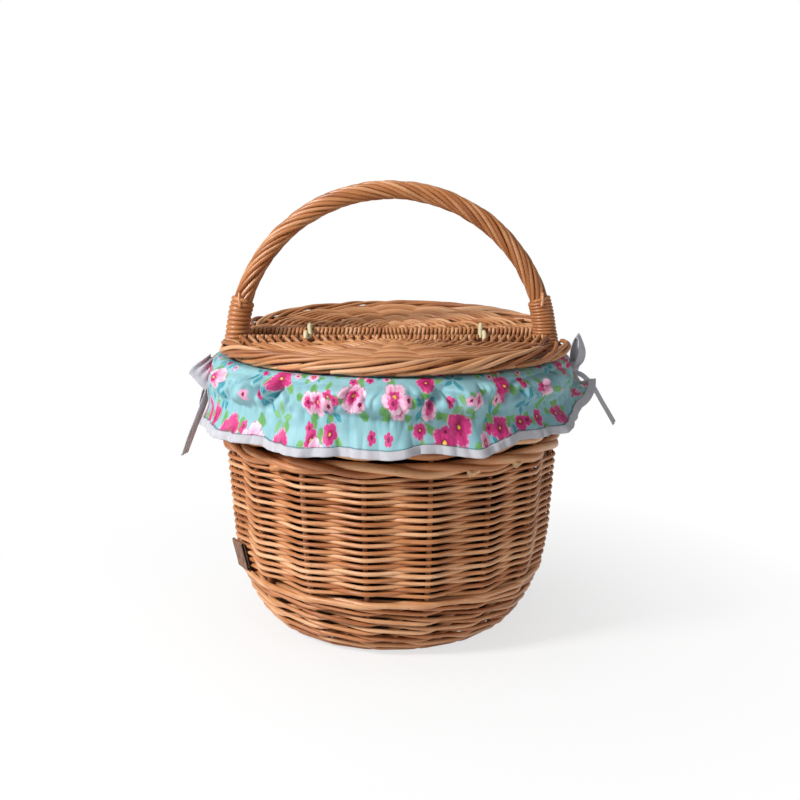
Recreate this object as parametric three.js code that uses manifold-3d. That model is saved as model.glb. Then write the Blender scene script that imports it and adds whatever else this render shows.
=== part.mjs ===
// Round wicker picnic basket with two flaps, a fixed handle and a cloth liner.
// Millimetres, +Z up, the front is -Y, the origin is on the ground under the middle.
import * as THREE from 'three';
import { LoftGeometry } from 'three/addons/geometries/LoftGeometry.js';
import { mergeVertices } from 'three/addons/utils/BufferGeometryUtils.js';
import Module from 'manifold-3d';

const wasm = await Module();
wasm.setup();

// Clearances
const seat = 0.3;
const bendRoom = 0.9;
const rowGap = 0.45;
const swingRoom = 1;

// Wall
const bodyHeight = 275;
const wallRadius = 158;
const wallFlareAngle = 3.81;
const footInset = 50;
const footCurve = 110;
const footTop = 59;
const footThick = 11;
const footRows = 8;
const footGroove = 1.8;
const footDip = 4;
const stakeCount = 17;
const stakeDiameter = 5;
const stakeSocket = 12;
const firstStakeAngle = -8.3;

// Side weave and thick band
const weaverThick = 3.6;
const weaverTall = 4;
const bandDrop = 91.5;
const bandRod = 8;
const bandTurns = 4;
const rimBulge = 1;
const rimThick = 16;
const rimRows = 3;

// Base
const baseThick = 10;
const baseRows = 5;
const crossStick = 8;
const crossSticks = 3;
const crossHalf = 22;

// Handle
const handleRise = 156;
const bowDiameter = 9;
const legGap = 0.4;
const legDepth = 105;
const legLeanAngle = 4.69;
const ropeDiameter = 19;
const ropeStrands = 6;
const ropeTurns = 2.5;
const whipDiameter = 25;
const whipWall = 2.4;
const whipBelow = 1;
const whipAbove = 52;
const whipRows = 5;
const whipSides = 10;
const barDiameter = 12;
const barDrop = 6;

// Flaps
const lidOverhang = 2.7;
const lidShift = 4;
const rearLift = 1.5;
const rearTiltAngle = 5.5;
const borderTall = 17;
const borderWide = 22;
const borderTurns = 6;
const hingeRodDiameter = 4.6;
const hingeSink = 3.5;
const hingeRise = 5;
const fanSticks = 7;
const fanStick = 4;
const fanHub = 44;
const flapRowWide = 4.4;
const flapRowThick = 2.6;
const flapRowPitch = 7.6;
const frontTieX = 91;
const rearTieX = 87;
const tieThick = 4;

// Liner
const clothThick = 1.6;
const bagInset = 20;
const bagPress = 40;
const cuffInside = 13;
const cuffDrop = 54;
const cuffFlare = 9;
const elasticDrop = 30;
const foldCount = 13;
const foldDepth = 5;
const slitHalf = 18;
const hemTall = 12;
const hemThick = 3;

// Ties and tag
const ribbonWide = 13;
const ribbonThick = 1.4;
const knotSize = 13;
const leftLoopOut = 14;
const leftTailOut = 29;
const leftTailDrop = 80;
const rightLoopOut = 10;
const rightTailOut = 44;
const rightTailDrop = 54;
const tagWide = 24;
const tagTall = 28;
const tagThick = 2;
const tagStake = -3;
const tagShift = 6.5;
const tagTurnAngle = 12;
const tagBottom = 65;

const zAxis = new THREE.Vector3(0, 0, 1);
const group = new THREE.Group();

const willow = { color: 0xc89a6c, roughness: 0.5, metalness: 0 };
const darkWillow = { color: 0xb78455, roughness: 0.55, metalness: 0 };
const cane = { color: 0xded2a5, roughness: 0.6, metalness: 0 };
const floralCloth = { color: 0xa8dce0, roughness: 0.9, metalness: 0 };
const greyTape = { color: 0xc4c4cc, roughness: 0.85, metalness: 0 };
const leather = { color: 0x6e5548, roughness: 0.7, metalness: 0 };

function degrees(value) {
  return THREE.MathUtils.degToRad(value);
}

// A point at an angle counted from the front, positive to the right
function around(radius, angle, height) {
  return new THREE.Vector3(radius * Math.sin(angle), -radius * Math.cos(angle), height);
}

function place(name, geometry, finish) {
  const mesh = new THREE.Mesh(geometry, new THREE.MeshStandardMaterial(finish));
  mesh.name = name;
  group.add(mesh);
}

function signedVolume(geometry) {
  const spots = geometry.attributes.position;
  const order = geometry.index.array;
  const a = new THREE.Vector3();
  const b = new THREE.Vector3();
  const c = new THREE.Vector3();
  let volume = 0;
  for (let i = 0; i < order.length; i += 3) {
    a.fromBufferAttribute(spots, order[i]);
    b.fromBufferAttribute(spots, order[i + 1]);
    c.fromBufferAttribute(spots, order[i + 2]);
    volume += a.dot(b.cross(c)) / 6;
  }
  return volume;
}

// Welds the seams and turns the faces outward
function sealed(geometry) {
  const plain = new THREE.BufferGeometry();
  plain.setAttribute('position', geometry.attributes.position);
  plain.setIndex(geometry.index);
  const welded = mergeVertices(plain, 0.001);
  if (signedVolume(welded) < 0) {
    welded.index.array.reverse();
  }
  welded.computeVertexNormals();
  return welded;
}

function toSolid(geometry) {
  const plain = sealed(geometry);
  return new wasm.Manifold(new wasm.Mesh({
    numProp: 3,
    vertProperties: new Float32Array(plain.attributes.position.array),
    triVerts: new Uint32Array(plain.index.array),
  }));
}

function fromSolid(solid) {
  const mesh = solid.getMesh();
  const geometry = new THREE.BufferGeometry();
  geometry.setAttribute('position', new THREE.BufferAttribute(new Float32Array(mesh.vertProperties), 3));
  geometry.setIndex(new THREE.BufferAttribute(new Uint32Array(mesh.triVerts), 1));
  return sealed(geometry);
}

// One section outline, a flat box with four sides or else a polygon inside the ellipse
function outline(center, across, upright, wide, tall, sides) {
  const grow = sides === 4 ? Math.SQRT2 : 1;
  const points = [];
  for (let i = 0; i < sides; i += 1) {
    const turn = (i + 0.5) * 2 * Math.PI / sides;
    const point = center.clone();
    point.addScaledVector(across, grow * wide / 2 * Math.cos(turn));
    point.addScaledVector(upright, grow * tall / 2 * Math.sin(turn));
    points.push(point);
  }
  return points;
}

function headingAt(points, i) {
  const before = points[Math.max(i - 1, 0)];
  const after = points[Math.min(i + 1, points.length - 1)];
  return after.clone().sub(before).normalize();
}

function middleOf(points) {
  const sum = points.reduce((total, point) => total.add(point), new THREE.Vector3());
  return sum.divideScalar(points.length);
}

// A skin through sections, all turned to run the same way round
function loft(sections, capped = true) {
  const [first, second] = sections;
  const facing = new THREE.Vector3();
  first.forEach((point, i) => facing.add(point.clone().cross(first[(i + 1) % first.length])));
  const ahead = middleOf(second).sub(middleOf(first));
  const backward = facing.dot(ahead) < 0;
  const ordered = backward ? sections.map((points) => [...points].reverse()) : sections;
  return sealed(new LoftGeometry(ordered, { capStart: capped, capEnd: capped }));
}

// A rod along points, its section kept upright to the given direction at each point
function rod(points, wide, tall, sides, upAt = () => zAxis) {
  const sections = points.map((point, i) => {
    const along = headingAt(points, i);
    const across = new THREE.Vector3().crossVectors(upAt(i), along).normalize();
    const upright = new THREE.Vector3().crossVectors(along, across);
    return outline(point, across, upright, wide, tall, sides);
  });
  return loft(sections);
}

// A flat strip along points with its width along one fixed direction
function strip(points, wide, thick, across) {
  const sections = points.map((point, i) => {
    const face = new THREE.Vector3().crossVectors(headingAt(points, i), across).normalize();
    return outline(point, across, face, wide, thick, 4);
  });
  return loft(sections);
}

// A profile of [radius, height] pairs turned round the upright axis
function spun(profile, segments) {
  const points = profile.map(([radius, height]) => new THREE.Vector2(radius, height));
  points.push(points[0].clone());
  return new THREE.LatheGeometry(points, segments).rotateX(Math.PI / 2);
}

function turned(profile, segments) {
  return sealed(spun(profile, segments));
}

// Outer reach of the woven side at a height
function wallReach(height) {
  const line = wallRadius + height * Math.tan(degrees(wallFlareAngle));
  const drop = Math.max(0, 1 - height / footCurve);
  return line - footInset * (1 - Math.sqrt(1 - drop * drop));
}

function stakeRadius(height) {
  return wallReach(height) - weaverThick - bendRoom - stakeDiameter / 2;
}

function stakeAngle(i) {
  return degrees(firstStakeAngle + i * 360 / stakeCount);
}

// Base: crossed sticks in the middle of a coiled disc
const ringFlat = Math.cos(Math.PI / (2 * stakeCount));
const baseRadius = wallReach(0) * ringFlat - seat;
const crossWide = crossStick * crossSticks;
const hubRadius = Math.hypot(crossHalf, crossWide / 2) + seat;

function crossArm(turn) {
  const half = crossWide / 2;
  const edge = new THREE.Shape();
  edge.moveTo(-crossHalf, 0);
  edge.lineTo(crossHalf, 0);
  edge.lineTo(crossHalf, baseThick);
  edge.lineTo(-crossHalf, baseThick);
  const arm = new THREE.ExtrudeGeometry(edge, { depth: crossWide, bevelEnabled: false });
  arm.translate(0, 0, -half);
  arm.rotateX(Math.PI / 2);
  arm.rotateZ(turn);
  return toSolid(arm);
}

place('base_cross', fromSolid(crossArm(0).add(crossArm(Math.PI / 2))), willow);

function discProfile() {
  const rowWide = (baseRadius - hubRadius) / baseRows;
  const profile = [[hubRadius, 0], [baseRadius, 0]];
  for (let i = baseRows; i > 0; i -= 1) {
    profile.push([hubRadius + i * rowWide, baseThick - 3]);
    profile.push([hubRadius + (i - 0.5) * rowWide, baseThick]);
  }
  profile.push([hubRadius, baseThick - 3]);
  return profile;
}

place('base_weave', turned(discProfile(), 24), willow);

// Foot: waling that curves up from the ground, each row behind every third stake.
// One section for each half step between stakes.
function footSection(column) {
  const lowest = Math.PI / 2;
  const highest = Math.asin(1 - footTop / footCurve);
  const last = 2 * footRows;
  const angle = stakeAngle(column / 2);
  const outer = [];
  const inner = [];
  for (let i = 0; i <= last; i += 1) {
    const turn = lowest + (highest - lowest) * i / last;
    const height = footCurve * (1 - Math.sin(turn));
    const slant = i < last ? -footInset * Math.sin(turn) : 0;
    const facing = new THREE.Vector2(footCurve * Math.cos(turn), slant).normalize();
    const groove = i % 2 === 0 && i > 0;
    const behind = i % 2 === 1 && i < last - 4 && (column + i - 1) / 2 % 3 === 2;
    const sink = (groove ? footGroove : 0) + (behind ? footDip : 0);
    const reach = wallReach(height);
    outer.push(around(reach - sink * facing.x, angle, height - sink * facing.y));
    if (i % 4 === 0) {
      inner.unshift(around(reach - footThick * facing.x, angle, height - footThick * facing.y));
    }
  }
  return [...outer, ...inner];
}

function stakePoints(i, bottom, top) {
  const points = [];
  const steps = 5;
  for (let k = 0; k <= steps; k += 1) {
    const share = Math.pow(k / steps, 1.4);
    const height = bottom + (top - bottom) * share;
    points.push(around(stakeRadius(height), stakeAngle(i), height));
  }
  return points;
}

const bandBottom = bodyHeight - bandDrop;
const rimBottom = bandBottom + bandTurns * (bandRod + rowGap) + bandRod + seat;
const stakeBottom = footTop - stakeSocket;
const footSections = Array.from({ length: 2 * stakeCount + 1 }, (none, i) => footSection(i % (2 * stakeCount)));
let footSolid = toSolid(loft(footSections, false));
for (let i = 0; i < stakeCount; i += 1) {
  const room = stakeDiameter + 2 * seat;
  const sideways = () => around(1, stakeAngle(i), 0);
  const socketPoints = stakePoints(i, stakeBottom - seat, rimBottom);
  footSolid = footSolid.subtract(toSolid(rod(socketPoints, room, room, 5, sideways)));
  const points = stakePoints(i, stakeBottom, rimBottom - seat);
  const name = `stake_${String(i + 1).padStart(2, '0')}`;
  place(name, rod(points, stakeDiameter, stakeDiameter, 5, sideways), darkWillow);
}
place('foot_wale', fromSolid(footSolid), willow);

// Side: one rod over a stake and under the next, wound round until it meets the band
const weaveReach = stakeDiameter / 2 + bendRoom + weaverThick / 2;
const weavePitch = weaverTall + rowGap;
const weaveStart = footTop + seat + weaverTall / 2 + 1;
const weaveRows = Math.floor((bandBottom - rowGap - weaverTall / 2 - weaveStart) / weavePitch);
const weavePoints = [];
for (let i = 0; i <= weaveRows * stakeCount; i += 1) {
  const height = weaveStart + weavePitch * i / stakeCount;
  const side = i % 2 === 0 ? 1 : -1;
  weavePoints.push(around(stakeRadius(height) + side * weaveReach, stakeAngle(i), height));
}
place('side_weave', rod(weavePoints, weaverThick, weaverTall, 4), willow);

// Band: a thick rod before two stakes and behind the third
const bandReach = stakeDiameter / 2 + bendRoom + bandRod / 2;
const bandPoints = [];
for (let i = 0; i <= bandTurns * stakeCount; i += 1) {
  const height = bandBottom + bandRod / 2 + (bandRod + rowGap) * i / stakeCount;
  const side = i % 3 === 2 ? -1 : 1;
  bandPoints.push(around(stakeRadius(height) + side * bandReach, stakeAngle(i), height));
}
place('band_wale', rod(bandPoints, bandRod, bandRod, 5), willow);

// Rim: the rolled border that ends the wall
const rimOuter = wallReach(bodyHeight) + rimBulge;
const rimInner = rimOuter - rimThick;

function rimProfile() {
  const rowTall = (bodyHeight - rimBottom) / rimRows;
  const profile = [[rimInner, bodyHeight - 4], [rimInner, rimBottom]];
  for (let i = 0; i < rimRows; i += 1) {
    profile.push([rimOuter - 4, rimBottom + i * rowTall]);
    profile.push([rimOuter, rimBottom + (i + 0.5) * rowTall]);
  }
  profile.push([rimOuter - 4, bodyHeight]);
  profile.push([rimInner + 4, bodyHeight]);
  return profile;
}

place('rim_border', turned(rimProfile(), 2 * stakeCount), willow);

// Handle: a bent rod whose legs go down inside the wall, twisted rods round it
const bowHalf = rimInner - legGap - bowDiameter / 2;
const legLean = Math.tan(degrees(legLeanAngle));
const cuffTop = bodyHeight + seat + clothThick;
const footHeight = cuffTop + seat + borderTall / 5;

// A point of the arch, 0 at the left foot and 1 at the right
function archPoint(share) {
  const turn = Math.PI * share;
  return new THREE.Vector3(-bowHalf * Math.cos(turn), 0, footHeight + handleRise * Math.sin(turn));
}

function legPoint(side, depth) {
  return new THREE.Vector3(side * (bowHalf - legLean * depth), 0, footHeight - depth);
}

function archPoints(from, to, steps) {
  return Array.from({ length: steps + 1 }, (none, i) => archPoint(from + (to - from) * i / steps));
}

const yAxis = new THREE.Vector3(0, 1, 0);
const bowPoints = [
  legPoint(-1, legDepth), legPoint(-1, legDepth / 2), ...archPoints(0, 1, 28),
  legPoint(1, legDepth / 2), legPoint(1, legDepth),
];
place('handle_bow', rod(bowPoints, bowDiameter, bowDiameter, 6, () => yAxis), darkWillow);

const boreDiameter = bowDiameter + 2 * seat;
const boreSolid = toSolid(rod(bowPoints, boreDiameter, boreDiameter, 6, () => yAxis));
const ropeFoot = whipDiameter - 2 * whipWall - 2 * seat;

// Arch share where the whipping ends
const whipShare = Math.asin(whipAbove / handleRise) / Math.PI;

function ropeSection(share) {
  const center = archPoint(share);
  const along = archPoint(share + 0.001).sub(archPoint(share - 0.001)).normalize();
  const out = new THREE.Vector3().crossVectors(along, yAxis);
  const nearFoot = Math.min(share, 1 - share) / whipShare;
  const full = THREE.MathUtils.smoothstep(nearFoot, 1, 1.5);
  const width = THREE.MathUtils.lerp(ropeFoot, ropeDiameter, full);
  const points = [];
  for (let i = 0; i < 2 * ropeStrands; i += 1) {
    const turn = i * Math.PI / ropeStrands + share * ropeTurns * 2 * Math.PI;
    const reach = width / 2 * (i % 2 === 0 ? 1 : 0.84);
    const point = center.clone();
    point.addScaledVector(yAxis, reach * Math.cos(turn));
    point.addScaledVector(out, reach * Math.sin(turn));
    points.push(point);
  }
  return points;
}

const ropeSections = Array.from({ length: 33 }, (none, i) => ropeSection(i / 32));
const ropeSolid = toSolid(loft(ropeSections));
place('handle_rope', fromSolid(ropeSolid.subtract(boreSolid)), willow);

// Whipping: turns of split cane round each foot of the handle
function whipping(side) {
  const sections = [];
  const inner = [];
  const steps = 2 * whipRows;
  for (let i = -1; i <= steps + 1; i += 1) {
    const share = whipShare * i / steps;
    const center = archPoint(share);
    center.z -= whipBelow * (1 - i / steps);
    center.x *= -side;
    const along = archPoint(share + 0.001).sub(archPoint(share - 0.001)).normalize();
    const out = new THREE.Vector3().crossVectors(along, yAxis);
    out.x *= -side;
    const bore = (ropeFoot + 2 * seat) / Math.cos(Math.PI / whipSides);
    inner.push(outline(center, yAxis, out, bore, bore, whipSides));
    if (i >= 0 && i <= steps) {
      const width = whipDiameter - (i % 2 === 0 ? 1.6 : 0);
      sections.push(outline(center, yAxis, out, width, width, whipSides));
    }
  }
  const sleeve = toSolid(loft(sections));
  const core = toSolid(loft(inner));
  return fromSolid(sleeve.subtract(core));
}

place('left_whipping', whipping(-1), willow);
place('right_whipping', whipping(1), willow);

// Flap levels and hinge lines
const wrapReach = hingeRodDiameter / 2 + bendRoom + seat + flapRowThick;
const hingeOffset = whipDiameter / 2 + swingRoom + wrapReach + hingeSink;
const flapBottom = cuffTop + 3 * seat;
const hingeHeight = flapBottom + borderTall - hingeRise;
const lidRadius = rimOuter + lidOverhang;

// Crossbar between the feet, with the cane loops that tie the flaps to it
const barHeight = hingeHeight - barDrop;
const barHalf = bowHalf - whipDiameter / 2 - 3 * seat;
const bar = new THREE.CylinderGeometry(barDiameter / 2, barDiameter / 2, 2 * barHalf, 8);
bar.rotateZ(Math.PI / 2);
bar.translate(0, 0, barHeight);
place('crossbar', sealed(bar), darkWillow);

// Oval loop round the hinge rod with its wraps and round the bar
const rodTurn = wrapReach + rowGap + tieThick / 2;

function hingeTie(x, side, lift) {
  const rodSpot = new THREE.Vector2(side * hingeOffset, hingeHeight + lift);
  const barSpot = new THREE.Vector2(0, barHeight);
  const barTurn = barDiameter / 2 + 2 * seat + tieThick / 2;
  const away = rodSpot.clone().sub(barSpot);
  const tilt = away.angle();
  const meet = Math.acos((barTurn - rodTurn) / away.length());
  const path = [];
  for (let i = 0; i <= 6; i += 1) {
    const turn = tilt - meet + 2 * meet * i / 6;
    path.push([rodSpot, rodTurn, turn]);
  }
  for (let i = 0; i <= 4; i += 1) {
    const turn = tilt + meet + 2 * (Math.PI - meet) * i / 4;
    path.push([barSpot, barTurn, turn]);
  }
  const xAxis = new THREE.Vector3(1, 0, 0);
  const sections = path.map(([spot, reach, turn]) => {
    const out = new THREE.Vector3(0, Math.cos(turn), Math.sin(turn));
    const center = new THREE.Vector3(x, spot.x, spot.y).addScaledVector(out, reach);
    return outline(center, xAxis, out, tieThick, tieThick, 5);
  });
  sections.push(sections[0]);
  return loft(sections, false);
}

place('front_tie_left', hingeTie(lidShift - frontTieX, -1, 0), cane);
place('front_tie_right', hingeTie(lidShift + frontTieX, -1, 0), cane);
place('rear_tie_left', hingeTie(lidShift - rearTieX, 1, rearLift), cane);
place('rear_tie_right', hingeTie(lidShift + rearTieX, 1, rearLift), cane);

// Flaps, drawn at the front and turned half round for the rear
const borderInner = lidRadius - borderWide;

// Length along a stick of the fan until it meets a circle round the lid's middle
function fanLength(turn, circle) {
  const slope = hingeOffset * Math.sin(turn);
  return Math.sqrt(slope * slope - hingeOffset * hingeOffset + circle * circle) - slope;
}

const rowCircle = borderInner - flapRowWide / 2 - bendRoom;
const fanWide = fanLength(0, rowCircle);

// A point on a stick, its reach counted along the hinge rod
function fanPoint(reach, turn, height) {
  const length = reach * fanLength(turn, rowCircle) / fanWide;
  return new THREE.Vector3(-length * Math.cos(turn), -hingeOffset - length * Math.sin(turn), height);
}

// Hinge rod with the sticks that fan out from it
function flapFrame() {
  const hinge = [new THREE.Vector3(-fanWide, -hingeOffset, 0), new THREE.Vector3(fanWide, -hingeOffset, 0)];
  let solid = toSolid(rod(hinge, hingeRodDiameter, hingeRodDiameter, 8));
  for (let i = 1; i <= fanSticks; i += 1) {
    const turn = Math.PI * i / (fanSticks + 1);
    const start = fanPoint(0, turn, 0);
    const aim = fanPoint(1, turn, 0).sub(start).normalize();
    const end = start.clone().addScaledVector(aim, fanLength(turn, borderInner - seat));
    solid = solid.add(toSolid(rod([start, end], fanStick, fanStick, 6)));
  }
  const root = new THREE.Shape();
  root.absarc(0, 0, 0.8 * fanHub - flapRowWide, Math.PI, 2 * Math.PI, false);
  root.closePath();
  const hub = new THREE.ExtrudeGeometry(root, { depth: fanStick, bevelEnabled: false, curveSegments: 8 });
  hub.translate(0, -hingeOffset, -fanStick / 2);
  return fromSolid(solid.add(toSolid(hub)));
}

// One rod woven to and fro through the fan, round the hinge rod at each end
function flapWeave(tieX) {
  const over = fanStick / 2 + rowGap + flapRowThick / 2;
  const overRod = wrapReach - flapRowThick / 2;
  const reaches = [];
  const stick = fanPoint(tieX, Math.PI / (fanSticks + 1), 0);
  const openRow = tieX - rodTurn * (tieX + stick.x) / (hingeOffset + stick.y);
  const lowest = Math.ceil((fanHub - openRow) / flapRowPitch);
  const highest = Math.floor((fanWide - openRow) / flapRowPitch);
  for (let k = lowest; k <= highest; k += 1) {
    if (k !== 0) {
      reaches.push(openRow + k * flapRowPitch);
    }
  }
  const points = [];
  const ups = [];
  reaches.forEach((reach, row) => {
    const up = new THREE.Vector3(0, 0, row % 2 === 0 ? 1 : -1);
    const last = fanSticks + 1;
    for (let i = 0; i <= last; i += 1) {
      const spot = row % 2 === 0 ? i : last - i;
      const side = (spot + row) % 2 === 0 ? 1 : -1;
      const onRod = spot === 0 || spot === last;
      points.push(fanPoint(reach, Math.PI * spot / last, side * (onRod ? overRod : over)));
      ups.push(up);
    }
    if (row < reaches.length - 1) {
      const end = row % 2 === 0 ? Math.PI : 0;
      const side = Math.sign(points.at(-1).z);
      for (const share of [0.25, 0.5, 0.75]) {
        const out = new THREE.Vector3(0, Math.sin(Math.PI * share), side * Math.cos(Math.PI * share));
        const spot = fanPoint(THREE.MathUtils.lerp(reach, reaches[row + 1], share), end, 0);
        points.push(spot.addScaledVector(out, overRod));
        ups.push(out.multiplyScalar(side * up.z));
      }
    }
  });
  return rod(points, flapRowWide, flapRowThick, 4, (i) => ups[i]);
}

// Plaited border along the curved edge
function flapBorder() {
  const middle = lidRadius - borderWide / 2;
  const drop = hingeHeight - flapBottom;
  const behind = Math.sqrt((drop + 2 * seat) ** 2 - drop ** 2);
  const half = Math.acos((hingeOffset - behind) / borderInner);
  const steps = 26;
  const level = flapBottom + borderTall / 2 - hingeHeight;
  const sections = [];
  for (let i = 0; i <= steps; i += 1) {
    const angle = half * (2 * i / steps - 1);
    const center = around(middle, angle, level);
    const out = around(1, angle, 0);
    const points = [];
    for (let k = 0; k < 8; k += 1) {
      const turn = k * Math.PI / 4 + borderTurns * Math.PI * i / steps;
      const reach = k % 2 === 0 ? 1 : 0.86;
      const point = center.clone();
      point.addScaledVector(out, reach * borderWide / 2 * Math.cos(turn));
      point.addScaledVector(zAxis, reach * borderTall / 2 * Math.sin(turn));
      points.push(point);
    }
    sections.push(points);
  }
  return loft(sections);
}

function setFlap(prefix, tieX, lift, tilt, turn) {
  const pieces = { frame: flapFrame(), weave: flapWeave(tieX), border: flapBorder() };
  for (const [piece, geometry] of Object.entries(pieces)) {
    geometry.translate(0, hingeOffset, 0);
    geometry.rotateX(-tilt);
    geometry.translate(0, -hingeOffset, 0);
    geometry.rotateZ(turn);
    geometry.translate(lidShift, 0, hingeHeight + lift);
    place(`${prefix}_${piece}`, geometry, piece === 'frame' ? darkWillow : willow);
  }
}

setFlap('front_flap', frontTieX, 0, 0, 0);
setFlap('rear_flap', rearTieX, rearLift, degrees(rearTiltAngle), Math.PI);

// Liner bag inside the wall, pressed in where the legs pass
function bagProfile(pressed) {
  const floor = baseThick + seat;
  const top = bodyHeight - cuffInside - seat;
  const legTip = footHeight - legDepth;
  const levels = [floor + 16, floor + 36, bandBottom / 2, bandBottom - 40, bandBottom, rimBottom];
  const sides = levels.map((level) => [wallReach(level) - bagInset, level]);
  sides.push([rimInner * ringFlat - seat, top]);
  const outer = sides.map(([reach, level]) => {
    const leg = bowHalf - legLean * (footHeight - level) - bowDiameter / 2 - seat;
    return [pressed && level > legTip - bagPress ? Math.min(reach, leg) : reach, level];
  });
  const inner = outer.map(([reach, level]) => [reach - clothThick, level]).reverse();
  const corner = baseRadius - 3;
  return [
    [0, floor], [corner, floor], ...outer,
    ...inner, [corner - clothThick, floor + clothThick], [0, floor + clothThick],
  ];
}

function bag() {
  const quarter = 6;
  const geometry = spun(bagProfile(false), 4 * quarter);
  const pressed = bagProfile(true);
  const spots = geometry.attributes.position;
  pressed.forEach(([reach], i) => {
    spots.setX(quarter * (pressed.length + 1) + i, reach);
    spots.setX(3 * quarter * (pressed.length + 1) + i, -reach);
  });
  return sealed(geometry);
}

place('liner_bag', bag(), floralCloth);

// Cuff turned out over the rim, gathered by an elastic and hanging in folds
const slitAngle = Math.asin(slitHalf / rimOuter);

function fold(angle) {
  return Math.cos(foldCount * angle + 0.7 * Math.sin(3 * angle));
}

function cuffLine(angle, lift) {
  const outside = rimOuter + seat + clothThick / 2;
  const inside = rimInner * ringFlat - seat - clothThick / 2;
  const over = cuffTop - clothThick / 2;
  const waist = bodyHeight - elasticDrop;
  const hem = bodyHeight - cuffDrop;
  const wave = fold(angle) + 1;
  return [
    [inside, bodyHeight - cuffInside],
    [inside, over - 5],
    [inside + 4, over + lift],
    [outside - 4, over + lift],
    [outside + 0.5, over - 6],
    [outside + 1 + 1.5 * wave, (over + waist) / 2],
    [outside + 0.3 + 0.5 * wave, waist],
    [outside + cuffFlare / 2 + foldDepth / 2 * wave, (waist + hem) / 2],
    [outside + cuffFlare + foldDepth * wave, hem],
  ];
}

function cuffAngles(middle) {
  const half = Math.PI / 2 - slitAngle;
  return Array.from({ length: 31 }, (none, i) => middle + half * (i / 15 - 1));
}

// The cuff stands up to the underside of its flap
function cuff(middle, lift, tilt) {
  const sections = cuffAngles(middle).map((angle) => {
    const away = rimInner * Math.cos(angle - middle) - hingeOffset;
    const line = cuffLine(angle, lift + away * Math.tan(tilt));
    const outer = [];
    const inner = [];
    line.forEach(([reach, height], i) => {
      const before = line[Math.max(i - 1, 0)];
      const after = line[Math.min(i + 1, line.length - 1)];
      const along = new THREE.Vector2(after[0] - before[0], after[1] - before[1]).normalize();
      const half = clothThick / 2;
      outer.push(around(reach - along.y * half, angle, height + along.x * half));
      inner.unshift(around(reach + along.y * half, angle, height - along.x * half));
    });
    return [...outer, ...inner];
  });
  return loft(sections);
}

function hem(middle) {
  const sections = cuffAngles(middle).map((angle) => {
    const [reach, height] = cuffLine(angle, 0).at(-1);
    const center = around(reach + 1, angle, height - seat - clothThick / 2 - hemTall / 2);
    return outline(center, around(1, angle, 0), zAxis, hemThick, hemTall, 4);
  });
  return loft(sections);
}

place('front_cuff', cuff(0, 0, 0), floralCloth);
place('rear_cuff', cuff(Math.PI, rearLift, degrees(rearTiltAngle)), floralCloth);
place('front_hem', hem(0), greyTape);
place('rear_hem', hem(Math.PI), greyTape);

// Ribbon bows that close the slit at each foot of the handle
const knotX = rimOuter * ringFlat + seat + knotSize / 2;
const knotHeight = (rimBottom + bodyHeight) / 2;

function tieBow(prefix, side, loopOut, tailOut, tailDrop) {
  const at = (out, y, up) => new THREE.Vector3(side * (knotX + out), y, knotHeight + up);
  const half = knotSize / 2;
  const knot = new THREE.SphereGeometry(half, 8, 6);
  knot.rotateX(Math.PI / 2);
  knot.translate(side * knotX, 0, knotHeight);
  place(`${prefix}_knot`, sealed(knot), greyTape);
  const start = half + 2 * seat;
  for (const [name, y] of [['front', -1], ['rear', 1]]) {
    const loop = [
      at(1, y * start, 0), at(half, y * 2 * half, 1), at(half + loopOut / 2, y * 4 * half, 2),
      at(half + loopOut, y * 4.3 * half, 3), at(half + loopOut + 2, y * 3.4 * half, 3),
      at(half + loopOut / 2 + 2, y * 1.8 * half, 1), at(start, y * half / 2, 0),
    ];
    place(`${prefix}_loop_${name}`, strip(loop, ribbonWide, ribbonThick, zAxis), greyTape);
    const share = y < 0 ? 1 : 0.6;
    const first = y < 0 ? half / 2 : 0;
    const tail = [
      at(first, y, -half - seat), at(first + share * tailOut / 5, 4 * y, -half - share * tailDrop / 4),
      at(first + share * tailOut / 2, 9 * y, -half - share * tailDrop * 0.6),
      at(share * tailOut, 10 * y, -share * tailDrop),
    ];
    place(`${prefix}_tail_${name}`, strip(tail, ribbonWide, ribbonThick, yAxis), greyTape);
  }
}

tieBow('left_bow', -1, leftLoopOut, leftTailOut, leftTailDrop);
tieBow('right_bow', 1, rightLoopOut, rightTailOut, rightTailDrop);

// Folded leather tag on the left
const tagMiddle = tagBottom + tagTall / 2;
const tagSlope = (wallReach(tagBottom + tagTall) - wallReach(tagBottom)) / tagTall;
const tag = new THREE.BoxGeometry(tagWide, tagThick, tagTall);
tag.rotateX(Math.atan(tagSlope));
tag.translate(tagShift, 0, 0);
tag.rotateZ(degrees(tagTurnAngle));
tag.translate(0, -wallReach(tagMiddle) - 2 * seat - tagThick / 2, tagMiddle);
tag.rotateZ(stakeAngle(tagStake));
place('leather_tag', sealed(tag), leather);

export default group;
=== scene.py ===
# Round wicker picnic basket: willow rods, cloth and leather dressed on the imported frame
import bpy
import bmesh
import itertools
import math
import random
import numpy as np
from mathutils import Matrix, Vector, noise
from types import SimpleNamespace


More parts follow.
